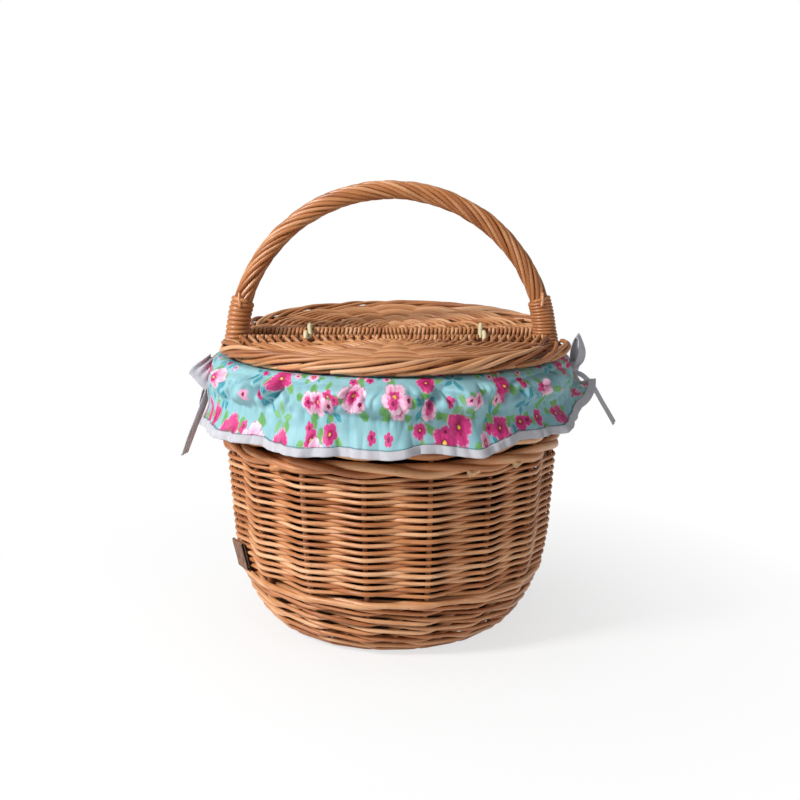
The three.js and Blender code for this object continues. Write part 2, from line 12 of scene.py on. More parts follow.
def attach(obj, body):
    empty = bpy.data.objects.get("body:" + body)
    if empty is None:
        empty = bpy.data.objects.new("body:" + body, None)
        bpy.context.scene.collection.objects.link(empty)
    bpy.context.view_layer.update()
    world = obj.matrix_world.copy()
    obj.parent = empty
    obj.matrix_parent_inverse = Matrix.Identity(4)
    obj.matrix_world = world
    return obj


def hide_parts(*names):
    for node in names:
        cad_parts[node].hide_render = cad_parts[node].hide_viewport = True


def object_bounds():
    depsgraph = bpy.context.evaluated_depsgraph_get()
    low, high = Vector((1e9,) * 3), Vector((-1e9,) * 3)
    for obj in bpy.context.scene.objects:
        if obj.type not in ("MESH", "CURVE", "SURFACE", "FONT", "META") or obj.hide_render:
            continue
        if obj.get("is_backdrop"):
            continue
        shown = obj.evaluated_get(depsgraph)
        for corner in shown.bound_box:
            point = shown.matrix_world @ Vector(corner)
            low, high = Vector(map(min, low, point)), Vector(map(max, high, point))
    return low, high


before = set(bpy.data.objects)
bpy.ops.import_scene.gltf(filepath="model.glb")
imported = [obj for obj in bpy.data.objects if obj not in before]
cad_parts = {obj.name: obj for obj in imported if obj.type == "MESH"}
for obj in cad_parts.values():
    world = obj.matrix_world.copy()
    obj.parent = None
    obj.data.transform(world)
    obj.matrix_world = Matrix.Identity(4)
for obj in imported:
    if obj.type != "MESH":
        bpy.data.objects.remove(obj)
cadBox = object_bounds()
scene = bpy.context.scene
mm = 0.001
white = (1, 1, 1, 1)
rng = random.Random(41)
print("frame loaded:", len(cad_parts), "nodes")

# Camera and studio, lengths in metres
camera = dict(spot=(0.009, -1.1206, 0.4428), pitch=11.03, lens=50, sensor=36)
studio = dict(
    world=0.28, floorWide=14, floorGrey=(0.9, 0.9, 0.9, 1), floorRough=0.9,
    shadowNear=0.14, shadowFar=0.5, shadowShare=0.3,
    key=dict(spot=(-1.5, -1.0, 1.35), aim=(0, 0, 0.22), size=0.4, power=47),
    fill=dict(spot=(1.5, -1.4, 0.8), aim=(0, 0, 0.2), size=1.2, power=3.5),
    top=dict(spot=(-0.3, 0.1, 1.7), aim=(0, 0, 0.3), size=1.0, power=4),
)


def tint(code):
    # hex sRGB to the linear colour that sockets take
    parts = [int(code[i:i + 2], 16) / 255 for i in (0, 2, 4)]
    return (*[c / 12.92 if c < 0.04045 else ((c + 0.055) / 1.055) ** 2.4 for c in parts], 1)


def linked(name, data):
    piece = bpy.data.objects.new(name, data)
    scene.collection.objects.link(piece)
    return piece


def meshObject(name, bm, skins):
    mesh = bpy.data.meshes.new(name)
    bm.to_mesh(mesh)
    bm.free()
    for skin in skins:
        mesh.materials.append(skin)
    return linked(name, mesh)


def setCamera():
    lens = bpy.data.cameras.new("camera")
    lens.lens = camera["lens"]
    lens.sensor_width = camera["sensor"]
    eye = linked("camera", lens)
    eye.location = camera["spot"]
    eye.rotation_euler = (math.radians(90 - camera["pitch"]), 0, 0)
    scene.camera = eye


def areaLight(name, spot, aim, size, power):
    lamp = bpy.data.lights.new(name, "AREA")
    lamp.size = size
    lamp.energy = power
    holder = linked(name, lamp)
    holder.location = spot
    holder.rotation_euler = (Vector(aim) - Vector(spot)).to_track_quat("-Z", "Y").to_euler()


# Short words for the nodes of a finish or of the world
def nodeKit(owner):
    owner.use_nodes = True
    tree = owner.node_tree

    def join(value, socket):
        if isinstance(value, bpy.types.NodeSocket):
            tree.links.new(value, socket)
        else:
            socket.default_value = value

    def put(kind, inputs=None, **settings):
        node = tree.nodes.new("ShaderNode" + kind)
        for key, value in settings.items():
            setattr(node, key, value)
        for key, value in (inputs or {}).items():
            join(value, node.inputs[key])
        return node

    def calc(operation, *values, clamp=False):
        node = put("Math", dict(enumerate(values)), operation=operation, use_clamp=clamp)
        return node.outputs[0]

    def plus(first, second):
        return calc("ADD", first, second)

    def minus(first, second, clamp=False):
        return calc("SUBTRACT", first, second, clamp=clamp)

    def times(first, second, clamp=False):
        return calc("MULTIPLY", first, second, clamp=clamp)

    def vector(operation, first, second):
        return put("VectorMath", {0: first, 1: second}, operation=operation).outputs[0]

    def cloud(space, scale, detail, rough=0.5):
        inputs = {"Vector": space, "Scale": scale, "Detail": detail, "Roughness": rough}
        return put("TexNoise", inputs).outputs[0]

    def spread(value, low, high):
        return put("MapRange", {"Value": value, "To Min": low, "To Max": high}).outputs[0]

    def blend(factor, first, second):
        return put("Mix", {0: factor, 6: first, 7: second}, data_type="RGBA").outputs[2]

    def ramp(factor, *stops):
        node = put("ValToRGB", {0: factor})
        line = node.color_ramp.elements
        while len(line) < len(stops):
            line.new(1)
        for stop, (place, colour) in zip(line, stops):
            stop.position = place
            stop.color = colour
        return node.outputs[0]

    def dress(colour, rough, height, strength, depth, shine=0.5, sheen=0):
        bump = put("Bump", {"Strength": strength, "Distance": depth, "Height": height})
        inputs = {
            "Base Color": colour, "Roughness": rough, "Normal": bump.outputs[0],
            "Specular IOR Level": shine, "Sheen Weight": sheen}
        for key, value in inputs.items():
            join(value, tree.nodes["Principled BSDF"].inputs[key])
        return owner

    return SimpleNamespace(
        owner=owner, tree=tree, join=join, put=put, calc=calc, plus=plus, minus=minus, times=times,
        vector=vector, cloud=cloud, spread=spread, blend=blend, ramp=ramp, dress=dress)


def newSkin(name):
    return nodeKit(bpy.data.materials.new(name))


def setWorld():
    scene.world = bpy.data.worlds.new("studio")
    w = nodeKit(scene.world)
    rays = w.put("LightPath").outputs
    seen = w.calc("MAXIMUM", rays["Is Camera Ray"], rays["Is Transmission Ray"])
    sky = w.tree.nodes["Background"].inputs
    w.join(white, sky["Color"])
    w.join(w.spread(seen, studio["world"], 1), sky["Strength"])
    scene.view_settings.view_transform = "Standard"


def setFloor():
    s = newSkin("paleFloor")
    plain = s.tree.nodes["Principled BSDF"]
    s.join(studio["floorGrey"], plain.inputs["Base Color"])
    s.join(studio["floorRough"], plain.inputs["Roughness"])
    s.join(0, plain.inputs["Specular IOR Level"])
    rays = s.put("LightPath").outputs
    direct = s.calc("MAXIMUM", rays["Is Glossy Ray"], rays["Is Transmission Ray"])
    direct = s.calc("MAXIMUM", rays["Is Camera Ray"], direct)
    glow = s.put("Emission", {"Color": white, "Strength": 1})
    # white all round, with the shadow kept near the object
    spot = s.put("TexCoord").outputs["Object"]
    away = s.put("VectorMath", {0: spot}, operation="LENGTH").outputs["Value"]
    share = s.put("MapRange", {
        "Value": away, "From Min": studio["shadowNear"], "From Max": studio["shadowFar"],
        "To Min": 1 - studio["shadowShare"], "To Max": 1}).outputs[0]
    both = s.put("MixShader", {0: s.times(direct, share), 1: plain.outputs[0], 2: glow.outputs[0]})
    s.join(both.outputs[0], s.tree.nodes["Material Output"].inputs[0])
    bm = bmesh.new()
    bmesh.ops.create_grid(bm, x_segments=2, y_segments=2, size=studio["floorWide"] / 2)
    floor = meshObject("floor", bm, [s.owner])
    floor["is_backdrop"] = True


setCamera()
for name in ("key", "fill", "top"):
    areaLight(name, **studio[name])
setWorld()
setFloor()
print("camera and studio set")

# Finishes, with lengths on the piece in metres
willow = dict(
    wall=("5f2a0f", "a05c2f", "c38250", "e9b98d"),
    stake=("54270e", "884f29", "a86e42", "c69066"),
    handle=("4a1e08", "8a4b25", "b37342", "dca87c"),
    lid=("5f2b0f", "a06135", "c08352", "dcaa80"),
    whip=("57260d", "945229", "b87848", "dca87c"),
    stops=(0.2, 0.42, 0.6, 0.85), streak=(1, 1, 0.03), grain=620, slow=34,
    specks=105, speckWide=0.075, speckEdge=40, speckLeast=0.6, speck="4a2712",
)


def willowSkin(word, gloss):
    s = newSkin(word + "Willow")
    space = s.put("Attribute", attribute_name="rodSpace").outputs["Vector"]
    tone = s.put("Attribute", attribute_name="rodTone").outputs["Fac"]
    grain = s.cloud(s.vector("MULTIPLY", space, willow["streak"]), willow["grain"], 3, 0.6)
    level = s.plus(s.times(tone, 0.5), s.times(grain, 0.3))
    level = s.plus(level, s.times(s.cloud(space, willow["slow"], 2), 0.3))
    colour = s.ramp(level, *zip(willow["stops"], [tint(c) for c in willow[word]]))
    # small dark specks, like the scars of side shoots
    specks = s.put("TexVoronoi", {"Vector": space, "Scale": willow["specks"]}).outputs
    chance = s.put("SeparateColor", {0: specks["Color"]}).outputs[0]
    spot = s.times(s.minus(willow["speckWide"], specks["Distance"]), willow["speckEdge"], clamp=True)
    spot = s.times(spot, s.calc("GREATER_THAN", chance, willow["speckLeast"]))
    colour = s.blend(s.times(spot, 0.75), colour, tint(willow["speck"]))
    height = s.minus(grain, s.times(spot, 0.6))
    return s.dress(colour, s.spread(grain, gloss - 0.1, gloss + 0.14), height, 0.35, 0.0005, 0.55)


def cutEndSkin():
    # pale wood at the cut end of a rod
    s = newSkin("cutEnd")
    space = s.put("Attribute", attribute_name="rodSpace").outputs["Vector"]
    grain = s.cloud(space, 1500, 2)
    colour = s.ramp(grain, (0.3, tint("b99566")), (0.6, tint("e0c89a")))
    return s.dress(colour, 0.8, grain, 0.3, 0.0004)


def caneSkin():
    # peeled cane of the hinge ties
    s = newSkin("paleCane")
    space = s.put("Attribute", attribute_name="rodSpace").outputs["Vector"]
    grain = s.cloud(s.vector("MULTIPLY", space, (1, 1, 0.05)), 1100, 3)
    colour = s.ramp(grain, (0.3, tint("c9bb8c")), (0.55, tint("ddd1a6")), (0.75, tint("ebe2c2")))
    return s.dress(colour, 0.5, grain, 0.3, 0.0004)


floral = dict(
    bigCell=0.038, midCell=0.0285, smallCell=0.021, sprigCell=0.034, shake=0.1, petals=5, edge=26,
    stitchRise=0.0023, stitchStep=0.0034, stitchHalf=0.0005, stitchShare=0.62, thread=500,
    rough=0.48, shine=0.3, sheen=0.04,
)
floralTints = dict(
    ground="8dbbc2", groundDeep="7fafb8", pink="c9357b", deepPink="a8185a", palePink="e6a3c3",
    paler="f0cfdf", green="76ad62", deepGreen="4a8f50", teal="24899a", eye="e3bf4b", wine="86103f",
    stitchAndSeamShade="3f646d",
)


def floralSkin(name, stitchAt=None):
    s = newSkin(name)
    f = floral
    c = {word: tint(code) for word, code in floralTints.items()}
    flat = s.put("UVMap", uv_map="clothMap").outputs[0]
    wobble = s.put("TexNoise", {"Vector": flat, "Scale": 150, "Detail": 1}).outputs["Color"]
    wobble = s.vector("SUBTRACT", wobble, (0.5, 0.5, 0.5))

    def motif(cell, seed, loose):
        # place of the nearest motif in its own turned polar frame
        spaced = s.vector("MULTIPLY", flat, (1 / cell, 1 / cell, 0))
        shaken = s.vector("MULTIPLY", wobble, (f["shake"], f["shake"], 0))
        moved = s.vector("ADD", spaced, (seed, 1.7 * seed, 0))
        cells = s.put(
            "TexVoronoi", {"Vector": moved, "Scale": 1, "Randomness": loose},
            voronoi_dimensions="2D").outputs
        local = s.vector("SUBTRACT", s.vector("ADD", moved, shaken), cells["Position"])
        axes = s.put("SeparateXYZ", {0: local}).outputs
        reach = s.calc("SQRT", s.plus(s.times(axes[0], axes[0]), s.times(axes[1], axes[1])))
        chance = s.put("SeparateColor", {0: cells["Color"]}).outputs
        turn = s.plus(s.calc("ARCTAN2", axes[1], axes[0]), s.times(chance[0], 6.283))
        return reach, turn, chance, s.vector("MULTIPLY", cells["Position"], (cell, cell, 0))

    def petals(reach, turn, size, notch, edge):
        lobes = s.calc("ABSOLUTE", s.calc("COSINE", s.times(turn, f["petals"] / 2)))
        rim = s.times(s.plus(1 - notch, s.times(s.calc("SQRT", lobes), notch)), size)
        return s.times(s.minus(rim, reach), edge, clamp=True), lobes, s.calc("DIVIDE", reach, rim)

    def leaves(reach, turn, count, start, length, wide):
        fold = s.calc("WRAP", turn, math.pi / count, -math.pi / count)
        along = s.calc("DIVIDE", s.minus(s.times(reach, s.calc("COSINE", fold)), start), length)
        across = s.calc("ABSOLUTE", s.times(reach, s.calc("SINE", fold)))
        belly = s.times(s.times(along, s.minus(1, along)), 4 * wide)
        rib = s.minus(1, s.times(across, 40), clamp=True)
        return s.times(s.minus(belly, across), f["edge"], clamp=True), rib

    mottle = s.cloud(flat, 55, 2)
    colour = s.ramp(mottle, (0.35, c["groundDeep"]), (0.6, c["ground"]))

    # teal and green sprigs scattered over the ground
    reach, turn, chance = motif(f["sprigCell"], 3.3, 0.7)[:3]
    mask, rib = leaves(reach, turn, 5, 0.02, 0.38, 0.085)
    mask = s.times(mask, s.calc("GREATER_THAN", chance[1], 0.3))
    shade = s.blend(s.calc("GREATER_THAN", chance[2], 0.62), c["teal"], c["green"])
    colour = s.blend(mask, colour, s.blend(s.times(rib, 0.35), shade, c["ground"]))

    # open five-petal blossoms on whorls of leaves, in two sizes
    brush = s.cloud(flat, 420, 2)
    blossoms = ((f["midCell"], 21.4, 0.3, 0.5, 0.45), (f["bigCell"], 7.1, 0.36, 0.44, 0.66))
    for cell, seed, size, least, paleFrom in blossoms:
        reach, turn, chance, home = motif(cell, seed, 0.6)
        # whole groups stand close together, with bare ground between
        keep = s.calc("GREATER_THAN", s.cloud(home, 17, 0), least)
        reach = s.times(reach, s.plus(0.9, s.times(chance[2], 0.45)))
        mask, rib = leaves(reach, s.plus(turn, 0.5), 3, 0.2, 0.4, 0.125)
        shade = s.blend(s.times(mottle, chance[1]), c["green"], c["deepGreen"])
        leaf = s.blend(s.times(rib, 0.5), shade, c["deepGreen"])
        colour = s.blend(s.times(mask, keep), colour, leaf)
        mask, lobes, share = petals(reach, turn, size, 0.3, f["edge"])
        depth = s.plus(share, s.times(s.minus(brush, 0.5), 0.7))
        rosy = s.ramp(
            depth, (0.12, c["wine"]), (0.3, c["deepPink"]), (0.5, c["pink"]), (0.8, c["pink"]),
            (1, c["palePink"]))
        soft = s.ramp(
            depth, (0.12, c["deepPink"]), (0.34, c["pink"]), (0.52, c["palePink"]), (0.9, c["paler"]),
            (1, c["pink"]))
        bloom = s.blend(s.calc("GREATER_THAN", chance[1], paleFrom), rosy, soft)
        gap = s.times(s.minus(0.3, lobes), 2.4, clamp=True)
        bloom = s.blend(s.times(gap, 0.65), bloom, c["deepPink"])
        eye = s.times(s.minus(0.045, reach), 60, clamp=True)
        bloom = s.blend(eye, bloom, c["eye"])
        colour = s.blend(s.times(mask, keep), colour, bloom)

    # little blossoms between them
    reach, turn, chance = motif(f["smallCell"], 12.9, 0.8)[:3]
    mask, lobes, share = petals(reach, turn, 0.23, 0.4, 30)
    mask = s.times(mask, s.calc("GREATER_THAN", chance[1], 0.55))
    small = s.blend(s.calc("GREATER_THAN", chance[2], 0.6), c["pink"], c["palePink"])
    small = s.blend(s.calc("LESS_THAN", share, 0.34), small, c["wine"])
    colour = s.blend(mask, colour, small)

    if stitchAt:
        # a row of stitches just above the binding, on a thin continuous line of painted shade along the seam
        axes = s.put("SeparateXYZ", {0: flat}).outputs
        off = s.calc("ABSOLUTE", s.minus(axes[1], stitchAt))
        line = s.calc("LESS_THAN", off, f["stitchHalf"])
        step = s.calc("FRACT", s.calc("DIVIDE", axes[0], f["stitchStep"]))
        dash = s.calc("LESS_THAN", step, f["stitchShare"])
        # the steady part of the line is painted seam shade, the dashes are stitches
        colour = s.blend(s.times(line, s.plus(0.45, s.times(dash, 0.35))), colour, c["stitchAndSeamShade"])
    weave = {"Vector": flat, "Scale": f["thread"]}
    warp = s.put("TexWave", weave, bands_direction="X").outputs[1]
    weft = s.put("TexWave", weave, bands_direction="Y").outputs[1]
    height = s.plus(s.times(s.calc("MAXIMUM", warp, weft), 0.06), s.cloud(flat, 70, 3))
    return s.dress(colour, f["rough"], height, 0.3, 0.002, f["shine"], f["sheen"])


def clothSkin(name, deep, pale, rough, twill):
    # plain cloth with a slanting twill line
    s = newSkin(name)
    flat = s.put("UVMap", uv_map="clothMap").outputs[0]
    lines = s.put("TexWave", {"Vector": flat, "Scale": twill}, bands_direction="DIAGONAL").outputs[1]
    level = s.plus(s.times(s.cloud(flat, 160, 4), 0.7), s.times(lines, 0.3))
    colour = s.ramp(level, (0.25, tint(deep)), (0.7, tint(pale)))
    return s.dress(colour, rough, level, 0.35, 0.0012, 0.25, 0.1)


def leatherSkin(name, deep, pale):
    s = newSkin(name)
    flat = s.put("UVMap", uv_map="clothMap").outputs[0]
    pebble = s.put("TexVoronoi", {"Vector": flat, "Scale": 900}, feature="DISTANCE_TO_EDGE").outputs[0]
    worn = s.cloud(flat, 150, 4, 0.7)
    colour = s.ramp(worn, (0.35, tint(deep)), (0.65, tint(pale)))
    return s.dress(colour, s.spread(worn, 0.5, 0.75), s.plus(pebble, worn), 0.4, 0.0006)


wallWillow = willowSkin("wall", 0.4)
stakeWillow = willowSkin("stake", 0.5)
handleWillow = willowSkin("handle", 0.32)
lidWillow = willowSkin("lid", 0.45)
whipWillow = willowSkin("whip", 0.36)
cutEnd = cutEndSkin()
paleCane = caneSkin()
greyTape = clothSkin("greyTape", "aeacb3", "c1c0c6", 0.7, 330)
# reverse face of the liner, nearly black: painted shade seen through the gaps of the weave
paintedShadeBack = clothSkin("paintedShadeBack", "1d130d", "2b1e16", 0.9, 330)
print("finishes made")

# Shape of the wall, lengths in mm as in the solids
wall = dict(
    height=275, radius=158, flareAngle=3.81, footInset=50, footCurve=110, footTop=59,
    stakes=17, firstStake=-8.3, stakeInset=7, bandTop=225.6, rimBulge=1, rimThick=16,
    ringFlat=0.9957,  # the solids' rim has flat sides, nearest at their middles
)


def around(radius, angle, height):
    return Vector((radius * math.sin(angle), -radius * math.cos(angle), height))


def wallReach(height):
    drop = max(0, 1 - height / wall["footCurve"])
    line = wall["radius"] + height * math.tan(math.radians(wall["flareAngle"]))
    return line - wall["footInset"] * (1 - math.sqrt(max(0, 1 - drop * drop)))


def stakeRadius(height):
    return wallReach(height) - wall["stakeInset"]


def stakeAngle(i):
    return math.radians(wall["firstStake"] + i * 360 / wall["stakes"])


rimOuter = wallReach(wall["height"]) + wall["rimBulge"]
rimInner = rimOuter - wall["rimThick"]


def ease(value):
    value = min(1, max(0, value))
    return value * value * (3 - 2 * value)


def wander(x, y, seed):
    return noise.noise(Vector((x, y, 3.7 * seed)))


# Rods: a bent path, a radius along it and a bundle of such rods as one mesh
rodLook = dict(grainShift=0.617, toneStep=0.618)
toneSteps = itertools.count()


def tone(low=0.1, high=1.0):
    # neighbouring rods differ, and no run of rods is all dark or all pale
    return low + (high - low) * (next(toneSteps) * rodLook["toneStep"] % 1)


def bentPath(corners, bend, steps=3):
    path = [corners[0]]
    for before, here, after in zip(corners, corners[1:], corners[2:]):
        first = here.lerp(before, bend)
        last = here.lerp(after, bend)
        for k in range(steps + 1):
            t = k / steps
            path.append(first.lerp(here, t).lerp(here.lerp(last, t), t))
    path.append(corners[-1])
    return path


def rodRadii(count, butt, tip, seed, uneven=0.07):
    radii = []
    for k in range(count):
        thick = butt + (tip - butt) * k / count
        radii.append(thick / 2 * (1 + uneven * wander(0.11 * k, 0, seed)))
    return radii


def rodObject(name, rods, skin, sides=8, closed=False):
    curve = bpy.data.curves.new(name, "CURVE")
    curve.dimensions = "3D"
    curve.bevel_depth = mm
    curve.bevel_resolution = sides // 2 - 2
    ring = 2 * np.pi * np.arange(sides) / sides
    spaces, levels = [], []
    for i, (path, radii, level) in enumerate(rods):
        line = curve.splines.new("POLY")
        line.points.add(len(path) - 1)
        line.use_cyclic_u = closed
        line.points.foreach_set("co", [c for p in path for c in (p.x * mm, p.y * mm, p.z * mm, 1)])
        line.points.foreach_set("radius", radii)
        # place on the rod and tone of the rod, for the grain
        spots = np.array([p[:] for p in path]) * mm
        steps = np.linalg.norm(np.diff(spots, axis=0), axis=1)
        along = np.concatenate([[0], np.cumsum(steps)]) + rodLook["grainShift"] * i
        wide = np.array(radii)[:, None] * mm
        space = [wide * np.cos(ring), wide * np.sin(ring), along[:, None] + 0 * ring]
        spaces.append(np.stack(space, -1).reshape(-1, 3))
        levels.append(np.full(len(path) * sides, level))
    holder = bpy.data.objects.new(name, curve)
    mesh = bpy.data.meshes.new_from_object(holder)
    bpy.data.objects.remove(holder)
    bpy.data.curves.remove(curve)
    mesh.name = name
    place = mesh.attributes.new("rodSpace", "FLOAT_VECTOR", "POINT")
    place.data.foreach_set("vector", np.concatenate(spaces).astype(np.float32).ravel())
    shade = mesh.attributes.new("rodTone", "FLOAT", "POINT")
    shade.data.foreach_set("value", np.concatenate(levels).astype(np.float32))

    bm = bmesh.new()
    bm.from_mesh(mesh)
    for face in bm.faces:
        face.smooth = True
    if not closed:
        rims = [e for e in bm.edges if e.is_boundary]
        for face in bmesh.ops.holes_fill(bm, edges=rims, sides=0)["faces"]:
            face.smooth = False
            face.material_index = 1
    bmesh.ops.recalc_face_normals(bm, faces=bm.faces)
    bm.to_mesh(mesh)
    bm.free()
    mesh.materials.append(skin)
    mesh.materials.append(cutEnd)
    return linked(name, mesh)


def settle(piece, body, slot, *nodes):
    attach(piece, body)
    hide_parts(*nodes)


stakeRod = dict(foot=6, points=26, bunch=1.25, butt=5.4, tip=4.8, sway=0.4)


def makeStakes():
    s = stakeRod
    rods = []
    for i in range(wall["stakes"]):
        path = []
        for k in range(s["points"]):
            height = s["foot"] + (wall["bandTop"] - s["foot"]) * (k / (s["points"] - 1)) ** s["bunch"]
            reach = stakeRadius(height) + s["sway"] * wander(height * 0.03, i, 1)
            path.append(around(reach, stakeAngle(i), height))
        rods.append((path, rodRadii(len(path), s["butt"], s["tip"], i), tone()))
    piece = rodObject("stakes", rods, stakeWillow)
    settle(piece, "basket", "dark_willow", *[f"stake_{i:02d}" for i in range(1, wall["stakes"] + 1)])


# Side weave: rods laid one after another, each over one stake and under the next
sideWeave = dict(
    bottom=66.5, top=183.5, rowPitch=3.42, rodThick=3.95, thin=0.9, stout=1.07, butt=1.05, tip=0.93,
    rodStakes=28, rodVary=4, over=6.35, under=4.7, bend=0.15, sag=0.55, sway=0.5, drift=0.008,
)


def makeSideWeave():
    s = sideWeave
    last = int((s["top"] - s["bottom"]) / s["rowPitch"] * wall["stakes"])
    corners = []
    for i in range(last + 1):
        height = s["bottom"] + s["rowPitch"] * i / wall["stakes"]
        height += s["sag"] * wander(0.7 * (i % wall["stakes"]), 0.31 * i / wall["stakes"], 2)
        offset = s["over"] if i % 2 == 0 else -s["under"]
        offset += s["sway"] * wander(0.9 * i, 0, 3)
        angle = stakeAngle(i) + s["drift"] * wander(i * 1.3, 0, 4)
        corners.append(around(stakeRadius(height) + offset, angle, height))
    rods = []
    start = 1
    while start < last - 3:
        end = min(start + s["rodStakes"] + 2 * rng.randint(-s["rodVary"], s["rodVary"]), last)
        path = bentPath(corners[start:end + 1], s["bend"])
        thick = s["rodThick"] * rng.uniform(s["thin"], s["stout"])
        radii = rodRadii(len(path), thick * s["butt"], thick * s["tip"], start)
        rods.append((path, radii, tone(0.3, 0.95)))
        start = end
    settle(rodObject("sideWeave", rods, wallWillow), "basket", "willow", "side_weave")


# Waling: three rods, each in front of two stakes and behind the third.
# Rounds lie level and step up at the back, where they begin.
waling = dict(firstStake=9, early=3, stepFrom=0.85, stepSpan=0.15, sway=0.05, shortest=3, longest=5)


def waleRods(spotAt, rounds, butt, tip, lean, bend, seed):
    w = waling
    rods = []
    steps = int(rounds * wall["stakes"])
    for weaver in range(3):
        corners = []
        for i in range(-w["early"], steps + 1):
            phase = (i + weaver) % 3
            whole, part = divmod(max(0, i / wall["stakes"]), 1)
            level = whole + max(0, (part - w["stepFrom"]) / w["stepSpan"])
            share = level + (lean, -lean, 0)[phase] + w["sway"] * wander(i * 0.8, weaver * 5, seed)
            corners.append(spotAt((share + lean) / rounds, stakeAngle(i + w["firstStake"]), phase == 2))
        start = (2 - weaver) % 3
        while start < steps + w["early"] - 2:
            end = min(start + 3 * rng.randint(w["shortest"], w["longest"]), steps + w["early"])
            path = bentPath(corners[start:end + 1], bend)
            rods.append((path, rodRadii(len(path), butt, tip, seed + start), tone(0.25, 0.9)))
            start = end
    return rods


footWale = dict(
    rounds=6, rod=4.4, tip=3.7, stakeGap=10.5, standOut=0.6, lowest=2.6, first=1.2, past=1.5, samples=60,
    headRod=6.2, headTip=0.85, headHeight=59.5, headRise=4, headIn=-6, headOut=6.4,
)


def makeFootWale():
    f = footWale
    # even steps along the curved profile
    span = wall["footTop"] + f["past"]
    heights = [f["first"] + span * (k / f["samples"]) ** 2 for k in range(f["samples"] + 1)]
    lengths = [0]
    for low, high in zip(heights, heights[1:]):
        lengths.append(lengths[-1] + math.hypot(high - low, wallReach(high) - wallReach(low)))

    def spotAt(share, angle, behind):
        height = float(np.interp(min(max(share, 0), 1) * lengths[-1], lengths, heights))
        slope = (wallReach(height + 0.5) - wallReach(max(height - 0.5, 0))) / min(1, height + 0.5)
        facing = Vector((1, -slope)).normalized()
        depth = f["rod"] / 2 + (f["stakeGap"] if behind else -f["standOut"])
        low = max(height - depth * facing.y, f["lowest"])
        return around(wallReach(height) - depth * facing.x, angle, low)

    rods = waleRods(spotAt, f["rounds"], f["rod"], f["tip"], 0.25, 0.2, 11)

    def headAt(share, angle, behind):
        height = f["headHeight"] + f["headRise"] * share
        return around(stakeRadius(height) + (f["headIn"] if behind else f["headOut"]), angle, height)

    rods += waleRods(headAt, 1, f["headRod"], f["headRod"] * f["headTip"], 0.3, 0.22, 13)
    settle(rodObject("footWale", rods, wallWillow), "basket", "willow", "foot_wale")


bandWale = dict(
    bottom=188, top=222, rod=8.8, tip=7.0, rounds=2, behind=-7, front=6.8,
    buttThick=6.2, buttIn=3, buttOut=4.4, buttLag=0.09, buttTurn=0.032, buttRise=4, buttFall=1.1,
    # angle in degrees and height of each butt
    butts=((25, 186), (43, 187), (-39.5, 186), (120, 186), (165, 187), (-150, 186), (-95, 187)),
)


def makeBandWale():
    b = bandWale

    def spotAt(share, angle, behind):
        height = b["bottom"] + (b["top"] - b["bottom"]) * share
        return around(stakeRadius(height) + (b["behind"] if behind else b["front"]), angle, height)

    rods = waleRods(spotAt, b["rounds"], b["rod"], b["tip"], 0.26, 0.24, 23)
    # cut butts that stand out under the band
    for degree, height in b["butts"]:
        path = []
        for k in range(4):
            reach = stakeRadius(height) + b["buttIn"] + b["buttOut"] * k / 3
            angle = math.radians(degree) + b["buttLag"] - b["buttTurn"] * k
            path.append(around(reach, angle, height + b["buttRise"] - b["buttFall"] * k))
        rods.append((path, rodRadii(4, b["buttThick"], b["buttThick"], degree), tone(0.5)))
    settle(rodObject("bandWale", rods, wallWillow, 10), "basket", "willow", "band_wale")


# Rim under the cuff: more waling and a rolled top
rimBorder = dict(
    bottom=229, top=258, rod=7.6, rounds=2, inset=3.8, across=7.4,
    rollHeight=266.5, rollReach=4.6, rollRod=6, rollStrands=5, rollTurns=9, rollSteps=240,
)


def makeRimBorder():
    r = rimBorder

    def spotAt(share, angle, behind):
        reach = rimInner + r["inset"] + (0 if behind else r["across"])
        return around(reach, angle, r["bottom"] + (r["top"] - r["bottom"]) * share)

    rods = waleRods(spotAt, r["rounds"], r["rod"], r["rod"], 0.24, 0.24, 31)
    middle = (rimOuter + rimInner) / 2
    for strand in range(r["rollStrands"]):
        path = []
        for k in range(r["rollSteps"] + 1):
            turn = 2 * math.pi * (strand / r["rollStrands"] + r["rollTurns"] * k / r["rollSteps"])
            reach = middle + r["rollReach"] * math.cos(turn)
            height = r["rollHeight"] + r["rollReach"] * math.sin(turn)
            path.append(around(reach, 2 * math.pi * k / r["rollSteps"], height))
        rods.append((path, rodRadii(len(path), r["rollRod"], r["rollRod"], strand), tone()))
    settle(rodObject("rimBorder", rods, wallWillow, 6), "basket", "willow", "rim_border")


# Base: crossed sticks, spokes and a spiral weave
baseDisc = dict(
    level=5.2, arms=3, stick=7, stickGap=0.6, armThick=6.8, armHalf=22, armLift=1.6,
    spokes=17, spokeThick=3.4, spokeFrom=12, rod=4.2, rodSpokes=24, rowPitch=4.5,
    inner=27, outer=104, over=2.6,
)


